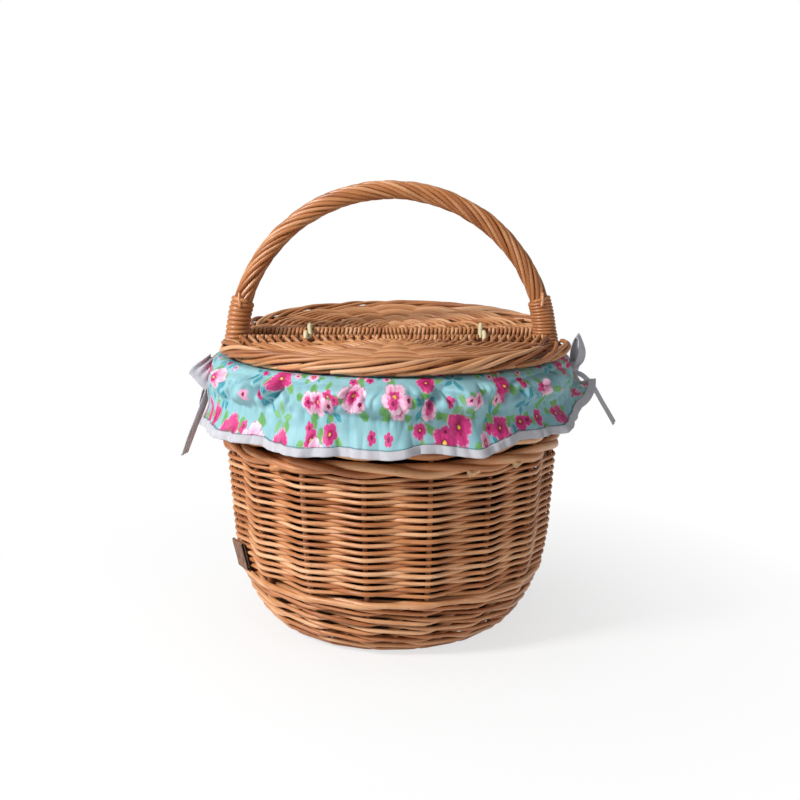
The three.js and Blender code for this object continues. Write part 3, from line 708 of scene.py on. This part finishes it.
def makeBase():
    b = baseDisc
    rods = []
    for k in range(b["arms"]):
        off = (k - (b["arms"] - 1) / 2) * (b["stick"] + b["stickGap"])
        for crosswise, lift in ((False, -b["armLift"]), (True, b["armLift"])):
            path = []
            for e in (-1, -0.3, 0.3, 1):
                x, y = e * b["armHalf"], off
                path.append(Vector((y, x, b["level"] + lift) if crosswise else (x, y, b["level"] + lift)))
            rods.append((path, [b["armThick"] / 2] * 4, tone()))
    settle(rodObject("baseCross", rods, stakeWillow), "basket", "willow", "base_cross")
    rods = []
    for i in range(b["spokes"]):
        reaches = [b["spokeFrom"] + (b["outer"] - b["spokeFrom"]) * k / 5 for k in range(6)]
        path = [around(reach, stakeAngle(i), b["level"]) for reach in reaches]
        rods.append((path, [b["spokeThick"] / 2] * 6, tone()))
    corners = []
    for i in range(int((b["outer"] - b["inner"]) / b["rowPitch"] * b["spokes"])):
        side = 1 if i % 2 else -1
        reach = b["inner"] + b["rowPitch"] * i / b["spokes"]
        corners.append(around(reach, stakeAngle(i), b["level"] + side * b["over"]))
    for start in range(0, len(corners) - 1, b["rodSpokes"]):
        path = bentPath(corners[start:start + b["rodSpokes"] + 1], 0.28, 2)
        rods.append((path, rodRadii(len(path), b["rod"], b["rod"], start), tone()))
    settle(rodObject("baseWeave", rods, wallWillow, 6), "basket", "willow", "base_weave")


makeStakes()
makeSideWeave()
makeFootWale()
makeBandWale()
makeRimBorder()
makeBase()
print("wall woven")

# Handle
handle = dict(
    rise=156, bowThick=9, bowGap=0.4, legDepth=105, legLean=math.tan(math.radians(4.69)), foot=280.6,
    strands=10, strandThick=4.5, strandReach=7.2, turns=3.8, steps=360, loose=0.6,
    whipAbove=52, leftTurns=10, rightTurns=14, whipOuter=12.1, whipFlare=2.8, whipFoot=0.03, whipTop=0.91,
    whipFlat=1.14, whipSteps=20, whipStart=2.2, tuckButt=3.6, tuckTip=3.0,
)
bowHalf = rimInner - handle["bowGap"] - handle["bowThick"] / 2
whipShare = math.asin(handle["whipAbove"] / handle["rise"]) / math.pi


def archPoint(share):
    turn = math.pi * share
    return Vector((-bowHalf * math.cos(turn), 0, handle["foot"] + handle["rise"] * math.sin(turn)))


def woundPoint(share, turn, reach):
    # beside the bow, and turned round it
    along = (archPoint(share + 0.001) - archPoint(share - 0.001)).normalized()
    out = along.cross(Vector((0, 1, 0)))
    return archPoint(share) + reach * (math.cos(turn) * out + math.sin(turn) * Vector((0, -1, 0)))


def legPoint(side, depth):
    return Vector((side * (bowHalf - handle["legLean"] * depth), 0, handle["foot"] - depth))


def makeHandle():
    h = handle
    path = [legPoint(-1, h["legDepth"] * (1 - k / 6)) for k in range(6)]
    path += [archPoint(k / 60) for k in range(61)]
    path += [legPoint(1, h["legDepth"] * (k + 1) / 6) for k in range(6)]
    bow = rodObject("handleBow", [(path, [h["bowThick"] / 2] * len(path), 0.3)], stakeWillow, 10)
    settle(bow, "basket", "dark_willow", "handle_bow")

    rods = []
    for strand in range(h["strands"]):
        path = []
        for k in range(h["steps"] + 1):
            share = k / h["steps"]
            lay = share + 0.012 * math.sin(9 * share + 2) + 0.006 * wander(share * 6, strand, 5)
            turn = 2 * math.pi * (strand / h["strands"] + h["turns"] * lay)
            reach = h["strandReach"] + h["loose"] * wander(share * 9, strand * 3, 6)
            path.append(woundPoint(share, turn, reach))
        thick = h["strandThick"] * rng.uniform(0.9, 1.12)
        rods.append((path, rodRadii(len(path), thick, thick * 0.92, strand), tone(0.35, 0.85)))
    settle(rodObject("handleRope", rods, handleWillow, 10), "basket", "willow", "handle_rope")

    for side, name, turns in ((-1, "left", h["leftTurns"]), (1, "right", h["rightTurns"])):
        # turns pressed together, so that the grooves are shallow
        thick = h["whipFlat"] * h["whipTop"] * h["whipAbove"] / turns
        bound = h["whipOuter"] - thick / 2
        count = turns * h["whipSteps"]
        path = []
        for k in range(count + 1):
            up = k / count
            share = whipShare * (h["whipFoot"] + (h["whipTop"] - h["whipFoot"]) * up)
            turn = 2 * math.pi * up * turns + h["whipStart"]
            reach = bound + h["whipFlare"] * max(0, 0.45 - up) ** 2 * 5
            reach += 0.25 * wander(k * 0.35, side, 7)
            path.append(woundPoint(share if side < 0 else 1 - share, turn, reach))
        rods = [(path, rodRadii(len(path), thick, thick, side + 2, 0.1), 0.55)]
        # the end tucked up across the top turns
        tuck = []
        for k in range(9):
            share = whipShare * (h["whipTop"] - 0.13 + 0.24 * k / 8)
            place = share if side < 0 else 1 - share
            tuck.append(woundPoint(place, 1.6 - 0.07 * k, h["whipOuter"] - 0.3 * k))
        rods.append((tuck, rodRadii(9, h["tuckButt"], h["tuckTip"], side + 4), 0.7))
        settle(rodObject(name + "Whipping", rods, whipWillow, 10), "basket", "willow", name + "_whipping")


makeHandle()
print("handle twisted")

# Flaps
flap = dict(
    shift=4, rearLift=1.5, rearTilt=math.radians(5.5), overhang=2.7,
    bottom=277.8, borderTall=17, borderWide=22,
    hingeOffset=23.1, hingeRod=4.6, hingeZ=289.8, sticks=7, stick=3.6, stickFrom=4, stickIn=5,
    rowThick=3.7, rowGap=3.1, firstRow=12, rowPitch=4.25, over=2.7, sway=0.7,
    wrapThick=3.6, wrapSteps=18, wrapDegrees=540, wrapPast=0.25, tie=88.5, tieRoom=-0.08,
    strands=8, strandThick=4.4, strandTurns=2.2, strandLap=0.12, core=2.6, endGap=3.8, rearDraw=15,
)
lidRadius = rimOuter + flap["overhang"]
borderInner = lidRadius - flap["borderWide"]
rowCircle = borderInner - flap["rowGap"]


def fanLength(turn, circle):
    slope = flap["hingeOffset"] * math.sin(turn)
    return math.sqrt(slope * slope - flap["hingeOffset"] ** 2 + circle * circle) - slope


fanWide = fanLength(0, rowCircle)


def fanPoint(reach, turn, height):
    length = reach * fanLength(turn, rowCircle) / fanWide
    return Vector((-length * math.cos(turn), -flap["hingeOffset"] - length * math.sin(turn), height))


def toLid(path, rear):
    f = flap
    side = -1 if rear else 1
    tilt = f["rearTilt"] if rear else 0
    lift = f["hingeZ"] + (f["rearLift"] if rear else 0)
    placed = []
    for p in path:
        out = p.y + f["hingeOffset"]
        y = out * math.cos(tilt) + p.z * math.sin(tilt) - f["hingeOffset"]
        z = p.z * math.cos(tilt) - out * math.sin(tilt)
        placed.append(Vector((f["shift"] + side * p.x, side * y, lift + z)))
    return placed


def makeFlapFrame(name, node, body, rear):
    f = flap
    hinge = [Vector((-fanWide + 2 * fanWide * k / 12, -f["hingeOffset"], 0)) for k in range(13)]
    rods = [(toLid(hinge, rear), [f["hingeRod"] / 2] * 13, 0.4)]
    for i in range(1, f["sticks"] + 1):
        turn = math.pi * i / (f["sticks"] + 1)
        start = fanPoint(f["stickFrom"], turn, 0)
        aim = (fanPoint(fanWide, turn, 0) - start).normalized()
        end = fanPoint(0, turn, 0) + aim * fanLength(turn, borderInner + f["stickIn"])
        path = [start.lerp(end, k / 8) for k in range(9)]
        rods.append((toLid(path, rear), rodRadii(9, f["stick"] * 0.9, f["stick"], i), tone()))
    settle(rodObject(name, rods, stakeWillow), body, "dark_willow", node)


def makeFlapWeave(name, node, body, rear):
    f = flap
    rows = []
    reach = f["firstRow"]
    while reach < fanWide:
        rows.append(reach)
        reach += f["rowPitch"]
    rows.remove(min(rows, key=lambda r: abs(r - f["tie"])))
    steps = [b - a for a, b in zip(rows, rows[1:])] + [0]
    last = f["sticks"] + 1
    wrap = f["hingeRod"] / 2 + f["wrapThick"] / 2
    wide = 1.5 * f["rowPitch"]
    rods = []

    def wrapped(x, turn):
        return Vector((x, -f["hingeOffset"] + wrap * math.cos(turn), wrap * math.sin(turn)))

    def addRod(path, radii):
        # both ends tucked in against the hinge rod
        first, end = [Vector((p.x, -f["hingeOffset"], 0)) for p in (path[0], path[-1])]
        radii = radii[:1] + radii + radii[-1:]
        rods.append((toLid([first] + path + [end], rear), radii, tone(0.25, 0.9)))

    for row, reach in enumerate(rows):
        forward = row % 2 == 0
        corners = []
        for i in range(last + 1):
            spot = i if forward else last - i
            side = 1 if (spot + row) % 2 == 0 else -1
            lift = wrap if spot in (0, last) else f["over"] * min(1, 0.55 + reach / 90)
            shaken = reach + f["sway"] * wander(spot * 2.1, row * 0.9, 8)
            corners.append(fanPoint(shaken, math.pi * spot / last, side * lift))
        path = bentPath(corners, 0.3)
        thick = f["rowThick"] * rng.uniform(0.9, 1.08)
        radii = rodRadii(len(path), thick, thick * 0.95, row)
        if 0 < steps[row] < wide:
            # a turn and a half round the hinge rod to the next row, clear of the tie
            way = 1 if forward else -1
            side = 1 if corners[-1].z > 0 else -1
            tieBelow = row and steps[row - 1] > wide
            low = reach - f["rowPitch"] * (f["tieRoom"] if tieBelow else f["wrapPast"])
            tieAbove = steps[row + 1] > wide
            high = rows[row + 1] + f["rowPitch"] * (f["tieRoom"] if tieAbove else f["wrapPast"])
            for k in range(1, f["wrapSteps"] + 1):
                turn = side * math.radians(90 - f["wrapDegrees"] * k / f["wrapSteps"])
                path.append(wrapped(way * (low + (high - low) * k / f["wrapSteps"]), turn))
                radii.append(f["wrapThick"] / 2)
        addRod(path, radii)
    # the middle of the hinge rod, wound by itself
    path = [wrapped(f["firstRow"] * (2 * k / 72 - 1), 2 * math.pi * k / 12) for k in range(73)]
    addRod(path, [f["wrapThick"] / 2] * len(path))
    settle(rodObject(name, rods, lidWillow, 6), body, "willow", node)


def makeFlapBorder(name, node, body, rear):
    f = flap
    middle = lidRadius - f["borderWide"] / 2
    level = f["bottom"] + f["borderTall"] / 2 - f["hingeZ"]
    half = math.acos((f["hingeOffset"] - f["endGap"]) / borderInner)
    wide = f["borderWide"] / 2 - f["strandThick"] / 2
    tall = f["borderTall"] / 2 - f["strandThick"] / 2
    length = 1 / f["strandTurns"]
    rods = []
    for strand in range(f["strands"]):
        phase = 2 * math.pi * strand / f["strands"]
        # rods start low on the outer face and end tucked inside, one turn later
        start = ((-0.9 - phase) / (2 * math.pi)) % 1 * length - length
        while start < 1:
            low, high = max(start, 0), min(start + (1 + f["strandLap"]) * length, 1)
            start += length
            if high - low < 0.02:
                continue
            path, radii = [], []
            count = max(8, int(140 * (high - low)))
            thick = f["strandThick"] * rng.uniform(0.78, 1.08)
            for k in range(count + 1):
                share = low + (high - low) * k / count
                end = min(share, 1 - share)
                turn = phase + 2 * math.pi * f["strandTurns"] * share
                turn += 0.75 * wander(share * 8, strand * 3, 9)
                inside = 1 - 0.55 * max(0, (share - (start - length)) / length - 1) / f["strandLap"]
                # drawn together towards both ends
                inside *= 0.45 + 0.55 * ease(end / 0.08)
                reach = 0.97 + 0.26 * wander(share * 8, strand * 4, 10)
                drawn = (f["rearDraw"] if rear else 0) * (1 - ease(end / 0.12))
                out = middle - drawn + wide * inside * reach * math.cos(turn)
                up = level + tall * inside * reach * math.sin(turn)
                path.append(around(out, half * (2 * share - 1), up))
                radii.append(thick / 2 * (1.06 - 0.22 * k / count))
            rods.append((toLid(path, rear), radii, tone()))
    # a rod along the middle of the border in the darkest tone: painted shade in the gaps between the strands
    core = [around(middle, half * (k / 30 - 1), level) for k in range(4, 57)]
    rods.append((toLid(core, rear), [f["core"]] * len(core), 0))
    settle(rodObject(name, rods, lidWillow, 10), body, "willow", node)


for word, rear in (("front", False), ("rear", True)):
    body = word + "_flap"
    makeFlapFrame(word + "FlapFrame", body + "_frame", body, rear)
    makeFlapWeave(word + "FlapWeave", body + "_weave", body, rear)
    makeFlapBorder(word + "FlapBorder", body + "_border", body, rear)

# Crossbar between the feet and the cane ties round it and the hinge rods
hingeTie = dict(barThick=12, barDrop=6, barHalf=bowHalf - 13.4, rodTurn=7.8, barTurn=8.4, cane=4.5, lean=2.4)


def makeTies():
    t = hingeTie
    barZ = flap["hingeZ"] - t["barDrop"]
    path = [Vector((-t["barHalf"] + 2 * t["barHalf"] * k / 10, 0, barZ)) for k in range(11)]
    bar = rodObject("crossbarRod", [(path, [t["barThick"] / 2] * 11, 0.4)], stakeWillow, 12)
    settle(bar, "basket", "dark_willow", "crossbar")
    for word, side, lift in (("front", -1, 0), ("rear", 1, flap["rearLift"])):
        for hand, way in (("left", -1), ("right", 1)):
            # front and rear ties lie side by side on the bar
            x = flap["shift"] + way * flap["tie"]
            barX = x - way * side * t["lean"]
            rod = Vector((side * flap["hingeOffset"], flap["hingeZ"] + lift))
            bar = Vector((0, barZ))
            away = rod - bar
            tilt = math.atan2(away.y, away.x)
            meet = math.acos((t["barTurn"] - t["rodTurn"]) / away.length)
            path = []
            for spot, place, reach, first, swing, count in (
                    (rod, x, t["rodTurn"], tilt - meet, 2 * meet, 16),
                    (bar, barX, t["barTurn"], tilt + meet, 2 * (math.pi - meet), 12)):
                for k in range(count + 1):
                    turn = first + swing * k / count
                    y, z = spot.x + reach * math.cos(turn), spot.y + reach * math.sin(turn)
                    path.append(Vector((place, y, z)))
            loops = [(path, [t["cane"] / 2] * len(path), tone())]
            piece = rodObject(f"{word}Tie_{hand}", loops, paleCane, 8, True)
            settle(piece, "basket", "pale_cane", f"{word}_tie_{hand}")


makeTies()
print("flaps woven and tied")


# Cloth: flat patches bent into place as one sheet
def sheetObject(name, patches, skins, thick, closed=False, flip=False):
    bm = bmesh.new()
    flat = bm.loops.layers.uv.new("clothMap")
    for columns, rows, spotAt, mapAt in patches:
        made = bmesh.ops.create_grid(bm, x_segments=columns, y_segments=rows, size=1)["verts"]
        shares = {v: ((v.co.x + 1) / 2, (v.co.y + 1) / 2) for v in made}
        for vert, share in shares.items():
            vert.co = spotAt(*share) * mm
            for loop in vert.link_loops:
                loop[flat].uv = mapAt(*share)
    for face in bm.faces:
        face.smooth = True
    if closed:
        bmesh.ops.remove_doubles(bm, verts=bm.verts, dist=0.00001)
    if flip:
        bmesh.ops.reverse_faces(bm, faces=bm.faces)
    piece = meshObject(name, bm, skins)
    layer = piece.modifiers.new("thickness", "SOLIDIFY")
    layer.thickness = thick * mm
    layer.offset = 0
    if len(skins) > 1:
        layer.material_offset = 1
        layer.material_offset_rim = len(skins) - 1
    return piece


def smoothLine(points, share):
    # a curve through the points with even steps
    place = min(max(share, 0), 1) * (len(points) - 1)
    i = min(int(place), len(points) - 2)
    t = place - i
    p0, p1, p2, p3 = (points[min(max(i + k, 0), len(points) - 1)] for k in (-1, 0, 1, 2))
    square = (2 * p0 - 5 * p1 + 4 * p2 - p3) * t ** 2
    return 0.5 * (2 * p1 + (p2 - p0) * t + square + (3 * p1 - p0 - 3 * p2 + p3) * t ** 3)


cuff = dict(
    inside=13, drop=57.5, elasticDrop=30, flare=9, folds=13, foldDepth=4.4, slit=18, thick=1.1, fullness=1.15,
    rimGap=1.1, girth=0.182, rearShift=1.37, length=0.088, columns=480, rows=64,
    hemTall=6.4, hemLap=1.5, hemLift=1.2, hemThick=1.6, hemSway=6, edgeWide=5, edgeReach=185,
    gather=1.9, gatherSpan=8, puff=17, billow=7, longFold=11, deepFrom=5, steep=0.18, sink=5,
    cornerSpan=math.radians(25), rightLift=math.radians(62), cornerLift=math.radians(-6),
    rightRise=10, cornerRise=-7, cornerShort=0.3,
)
slitAngle = math.asin(cuff["slit"] / rimOuter)
cuffHalf = math.pi / 2 - slitAngle
# place, slant, depth and width of each small crease
creases = []
for k in range(34):
    place, slant = rng.uniform(-1.4, 1.4), rng.uniform(-0.13, 0.13)
    creases.append((place, slant, rng.uniform(1.5, 4.5), rng.uniform(0.01, 0.025)))
# and of the deep folds that run down from under the lid
creases += (
    (-0.95, -0.1, 9, 0.05), (-0.66, 0.16, 18, 0.08), (-0.47, -0.1, 18, 0.07), (-0.28, 0.12, 9, 0.045),
    (-0.08, -0.06, 8, 0.04), (0.14, 0.09, 9, 0.045), (0.33, -0.12, 11, 0.05), (0.52, 0.14, 17, 0.07),
    (0.7, 0.26, 17, 0.06), (0.86, 0.3, 16, 0.055), (1.0, 0.28, 13, 0.05),
)


def cuffSpot(angle, share, rear):
    c = cuff
    outside = rimOuter + c["rimGap"]
    inside = rimInner * wall["ringFlat"] - c["rimGap"]
    over = wall["height"] + c["rimGap"]
    waist = wall["height"] - c["elasticDrop"]
    hem = wall["height"] - c["drop"]
    wave = math.cos(c["folds"] * angle + 0.7 * math.sin(3 * angle)) + 1
    off = angle - (math.pi if rear else 0)
    lift = 0
    if rear:
        past = rimInner * math.cos(off) - flap["hingeOffset"]
        lift = flap["rearLift"] + past * math.tan(flap["rearTilt"])
    line = [Vector(p) for p in (
        (inside, wall["height"] - c["inside"]),
        (inside, over - 5),
        (inside + 4, over + lift),
        (outside - 4, over + lift),
        (outside + 0.5, over - 6),
        (outside + 1.5 + 1.5 * wave, (over + waist) / 2),
        (outside + 5.5 + 0.5 * wave, waist),
        (outside + c["flare"] / 2 + c["foldDepth"] / 2 * wave, (waist + hem) / 2),
        (outside + c["flare"] + c["foldDepth"] * wave, hem),
    )]
    reach, height = smoothLine(line, share)
    corner = ease(1 - (cuffHalf - abs(off)) / c["cornerSpan"])
    if share > 0.45:
        # rounded puffs with sharp valleys above the elastic, gathers along it and long folds below
        near = math.exp(-((height - waist) / c["gatherSpan"]) ** 2)
        full = 0.35 + 1.5 * max(0, wander(angle * 3.3, 0, 21) + 0.3)
        fine = abs(math.sin(41 * angle + 2 * math.sin(5 * angle)))
        fine += 0.7 * abs(math.sin(67 * angle + 3 * math.sin(7 * angle)))
        reach += near * (c["gather"] * full * fine - 2)
        above = ease(math.sin(math.pi * min(1, max(0, (share - 0.45) / 0.31))))
        bend = 0.5 * wander(angle * 5, height * 0.05, 11)
        puff = abs(wander(angle * 7 + bend, height * 0.022, 12))
        puff += 0.4 * abs(wander(angle * 19 + bend, height * 0.05, 13))
        billow = c["billow"] * ease((1.2 - abs(off)) / 0.4)
        reach += above * (c["puff"] * puff * (1 - 0.85 * corner) + billow - 0.5 - 2 * corner)
        below = ease((share - 0.72) / 0.28)
        pleat = ease((share - 0.44) / 0.07) * max(0, (0.77 - share) / 0.27)
        long = abs(wander(angle * 6 + 0.3 * bend, height * 0.009, 14))
        long += 0.4 * abs(wander(angle * 15, height * 0.02, 15))
        reach += below * (c["longFold"] * long * (1 - 0.9 * corner) - 2)
        for place, slant, depth, wide in creases:
            # the deep ones are steep on one side like a pleat
            deep = depth > c["deepFrom"]
            away = off - place - slant * (height - waist) / 30
            away = away / wide if away > 0 else -away / (wide * (c["steep"] if deep else 1))
            if deep:
                hold = pleat
            elif depth > 2.5:
                hold = max(above, 0.45 * near)
            else:
                hold = 0.6 * below + 0.4 * above
            reach -= (1 - corner) * depth * math.exp(-away) * hold
        if above > 0:
            # a fold lies against the rim, and sinks in a little below it
            reach = max(reach, outside + 0.3 - c["sink"] * ease((over - 18 - height) / 8))
        height += below * (1 - corner) * c["hemSway"] * wander(angle * 3.7, 0, 16)
        if not rear:
            height += below * c["rightRise"] * ease((off - 0.45) / 0.6)
    # corners beside the slits hang lower, but the right front one is turned up and out
    if corner > 0 and share > 0.7:
        pivot = smoothLine(line, 0.72)
        big = off > 0 and not rear
        swing = corner * ease((share - 0.7) / 0.12) * (c["rightLift"] if big else c["cornerLift"])
        short = 1 - (c["cornerShort"] * corner if big else 0)
        out, up = short * (reach - pivot.x), short * (height - pivot.y)
        reach = pivot.x + out * math.cos(swing) - up * math.sin(swing)
        height = pivot.y + out * math.sin(swing) + up * math.cos(swing)
        height += corner * ease((share - 0.6) / 0.2) * (0 if big else c["cornerRise"])
    return around(reach, angle, height)


def makeCuff(word, rear):
    c = cuff
    middle = math.pi if rear else 0
    width = 2 * cuffHalf * c["girth"] * c["fullness"]
    skin = floralSkin(word + "Floral", c["length"] - floral["stitchRise"])

    def angleAt(u):
        return middle + cuffHalf * (2 * u - 1)

    def clothSpot(u, v):
        return cuffSpot(angleAt(u), v, rear)

    def clothMap(u, v):
        return (u * width + (c["rearShift"] if rear else 0), v * c["length"])

    cloth = sheetObject(word + "Cuff", [(c["columns"], c["rows"], clothSpot, clothMap)], [skin], c["thick"])

    def lifted(angle, share, beyond):
        # on the cloth's outer face, or past its lower edge
        here = cuffSpot(angle, share, rear)
        down = (here - cuffSpot(angle, share - 0.02, rear)).normalized()
        side = Vector((math.cos(angle), math.sin(angle), 0))
        return here + down.cross(side) * c["hemLift"] + down * beyond

    def hemSpot(u, v):
        return lifted(angleAt(u), 1, (c["hemTall"] + c["hemLap"]) * v - c["hemLap"])

    def hemMap(u, v):
        return (u * width, v * c["hemTall"] * mm)

    def edgeSpot(end):
        def spot(u, v):
            inward = c["edgeWide"] * v / c["edgeReach"]
            return lifted(middle + end * (cuffHalf + 0.003 - inward), 0.66 + 0.34 * u, 3 * u)
        return spot

    def edgeMap(u, v):
        return (u * 0.035, v * 0.005)

    patches = [(300, 8, hemSpot, hemMap)] + [(24, 4, edgeSpot(end), edgeMap) for end in (-1, 1)]
    hem = sheetObject(word + "Hem", patches, [greyTape], c["hemThick"])
    settle(cloth, "basket", "floral_cloth", word + "_cuff")
    settle(hem, "basket", "grey_tape", word + "_hem")


bag = dict(
    floor=11, thick=1.2, columns=150, rows=70, girth=0.99, length=0.36, area=0.33, gap=1.4,
    bottom=((0, 0), (55, 0), (98, 0.4)), inset=20, levels=(27, 47, 92, 143.5, 183.5, 225.6), top=261.4,
    slack=1.5, ripple=2.4, legFrom=130,
)


def makeBag():
    b = bag
    profile = [*b["bottom"], *[(wallReach(z) - b["inset"], z - b["floor"]) for z in b["levels"]]]
    profile += [(rimInner * wall["ringFlat"] - b["gap"], b["top"] - b["floor"])]
    line = [Vector(p) for p in profile]

    def spotAt(u, v):
        angle = 2 * math.pi * u
        reach, height = smoothLine(line, v)
        height += b["floor"]
        upright = min(1, max(0, (v - 0.3) / 0.2)) * min(1, max(0, (1 - v) / 0.08))
        swing = Vector((math.sin(angle), -math.cos(angle)))
        ripple = b["ripple"] * wander(swing.x * 5, swing.y * 5 + height * 0.012, 18)
        reach += upright * (-b["slack"] + ripple)
        # pressed in by the handle's legs
        leg = bowHalf - handle["legLean"] * (handle["foot"] - height) - handle["bowThick"] / 2 - b["gap"]
        if height > b["legFrom"]:
            press = math.exp(-((abs(swing.x) - 1) / 0.006) ** 2)
            reach -= press * max(0, reach - leg)
        return around(reach, angle, height)

    patches = [(b["columns"], b["rows"], spotAt, lambda u, v: (u * b["girth"], v * b["length"]))]
    # the liner's outer face takes the nearly black finish, painted shade for the gaps between the rods
    piece = sheetObject("linerBag", patches, [floralSkin("bagFloral"), paintedShadeBack], b["thick"], True, True)
    settle(piece, "basket", "floral_cloth", "liner_bag")


# Bows: each ribbon has its width in mm, pinch at the ends, hold, route and way across
bow = dict(
    knot=13, knotX=rimOuter * wall["ringFlat"] + 5.5, knotZ=254, knotSquash=0.92,
    thick=0.9, columns=36, rows=18, pinchSpan=0.32, ripple=0.8,
)
leftBow = dict(
    loop_front=(25, 0.4, "folded", [
        (-178, -12, 268), (-185, -22, 260), (-192, -23, 251), (-195, -19, 247), (-191, -14, 252),
        (-184, -10, 260), (-180, -8, 264)], [(0.66, 0.1, -0.75)] * 7),
    loop_rear=(15, 0.3, "folded", [
        (-179, 8, 260), (-185, 16, 258), (-191, 19, 254), (-194, 16, 250), (-190, 11, 252),
        (-184, 8, 256), (-181, 6, 258)], [(0.45, 0.1, -0.85)] * 7),
    tail_front=(15, 0.15, "hung", [
        (-183, -12, 246), (-187, -15, 232), (-194, -17, 214), (-203, -17, 193), (-212, -15, 171)],
        [(0.34, 0.94, 0.05)] * 5),
    tail_rear=(15, 0.1, "hung", [
        (-183, 4, 250), (-188, 5, 241), (-192, 5, 232), (-195, 4, 221)], [(0.35, 0.9, 0.15)] * 4),
)
rightBow = dict(
    loop_front=(18, 0.15, "folded", [
        (186, -4, 259), (190, -11, 265), (191.5, -14, 276), (190, -12, 288), (187.5, -7, 292),
        (185.5, -4, 281), (185, -3, 265)], [
        (0.7, 0.7, 0.1), (0.68, 0.72, 0.1), (0.55, 0.83, 0.1), (0.3, 0.95, 0.1), (0.3, 0.95, 0.1),
        (0.5, 0.86, 0.1), (0.65, 0.75, 0.1)]),
    loop_rear=(15, 0.3, "folded", [
        (181, 8, 262), (186, 15, 261), (191, 18, 258), (194, 16, 255), (191, 11, 256), (187, 8, 258),
        (183, 6, 260)], [(-0.35, 0.1, -0.9)] * 7),
    tail_front=(15, 0.15, "hung", [
        (186, -3, 254), (196, -4, 250), (207, -5, 238), (217, -5, 221), (229, -4, 201)],
        [(0.3, 0.95, 0.1)] * 5),
    tail_rear=(15, 0.1, "hung", [
        (185, 5, 250), (191, 7, 244), (197, 8, 234), (201, 8, 224)], [(0.35, 0.9, 0.15)] * 4),
)


def ribbonObject(name, points, acrosses, wide, pinch, seed):
    spots = [Vector(p) for p in points]
    sides = [Vector(a).normalized() for a in acrosses]

    def spotAt(u, v):
        side = smoothLine(sides, u).normalized()
        ahead = smoothLine(spots, min(1, u + 0.02)) - smoothLine(spots, max(0, u - 0.02))
        face = ahead.cross(side).normalized()
        # pleats take up the width where the ribbon is drawn together
        narrow = 1 - pinch * (1 - ease(min(u, 1 - u) / bow["pinchSpan"]))
        pleat = wide / 12 * math.sqrt(1 - narrow * narrow) * math.cos(6 * math.pi * v)
        ripple = bow["ripple"] * wander(u * 4, v * 2.5, seed) * math.sin(math.pi * u)
        return smoothLine(spots, u) + side * wide * narrow * (v - 0.5) + face * (pleat + ripple)

    length = sum((b - a).length for a, b in zip(spots, spots[1:])) * mm
    patches = [(bow["columns"], bow["rows"], spotAt, lambda u, v: (u * length, v * wide * mm))]
    return sheetObject(name, patches, [greyTape], bow["thick"]), length


def makeKnot(name, side):
    bm = bmesh.new()
    flat = bm.loops.layers.uv.new("clothMap")
    bmesh.ops.create_uvsphere(bm, u_segments=24, v_segments=16, radius=bow["knot"] / 2 * mm)
    for vert in bm.verts:
        p = vert.co
        # pinched cloth with creases from top to bottom
        turn = math.atan2(p.y, p.x)
        p *= 1 - 0.1 * abs(math.sin(2.5 * turn)) + 0.06 * wander(p.x * 300, p.z * 300, side + 20)
        p.z *= bow["knotSquash"]
        p += Vector((side * bow["knotX"], 0, bow["knotZ"])) * mm
    for face in bm.faces:
        face.smooth = True
        for loop in face.loops:
            loop[flat].uv = (loop.vert.co.y, loop.vert.co.z)
    return meshObject(name, bm, [greyTape])


def makeBow(word, side, ribbons):
    knot = word + "_bow_knot"
    settle(makeKnot(word + "BowKnot", side), "basket", "grey_tape", knot)
    for part, (wide, pinch, held, points, acrosses) in ribbons.items():
        piece, length = ribbonObject(f"{word}Bow_{part}", points, acrosses, wide, pinch, len(part))
        settle(piece, "basket", "grey_tape", f"{word}_bow_{part}")


makeCuff("front", False)
makeCuff("rear", True)
makeBag()
makeBow("left", -1, leftBow)
makeBow("right", 1, rightBow)
print("liner hung and bows tied")

# Leather tag, folded double, on the left of the wall
tag = dict(
    wide=22, bottom=65, tall=28, stake=-3, shift=10, turn=math.radians(14), thick=1.2, standOff=0.6, curl=0.7,
    # out from the wall and share of the height: up behind, over the fold and down in front
    path=((0.1, 0.08), (0.1, 0.5), (0.3, 0.9), (1.5, 1.0), (2.9, 0.93), (2.7, 0.6), (2.4, 0.3), (2.6, 0.0)),
)


def makeTag():
    t = tag
    angle = stakeAngle(t["stake"])
    facing = angle + t["turn"]
    across = Vector((math.cos(facing), math.sin(facing), 0))
    foot = wallReach(t["bottom"])
    head = wallReach(t["bottom"] + t["tall"])
    line = []
    for out, up in t["path"]:
        reach = foot + (head - foot) * up + t["standOff"] + out
        line.append(around(reach, angle, t["bottom"] + t["tall"] * up))

    def spotAt(u, v):
        curl = 0.5 * math.cos(3 * (v - 0.5)) + 0.25 * wander(u * 4, v * 3, 50)
        sideways = across * (t["wide"] * (v - 0.5) + t["shift"])
        return smoothLine(line, u) + sideways + around(t["curl"], facing, 0) * curl

    face = leatherSkin("tagLeather", "5b3d2e", "8d654e")
    edge = leatherSkin("tagEdge", "120f0e", "241e1b")
    patches = [(40, 14, spotAt, lambda u, v: (u * 0.062, v * 0.024))]
    piece = sheetObject("leatherTag", patches, [face, face, edge], t["thick"])
    settle(piece, "basket", "leather", "leather_tag")


makeTag()
print("tag folded")

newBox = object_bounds()
sizes = dict(cad=[list(c) for c in cadBox], visual=[list(c) for c in newBox])
print("box of the solids", sizes["cad"], "and of the dressed part", sizes["visual"])
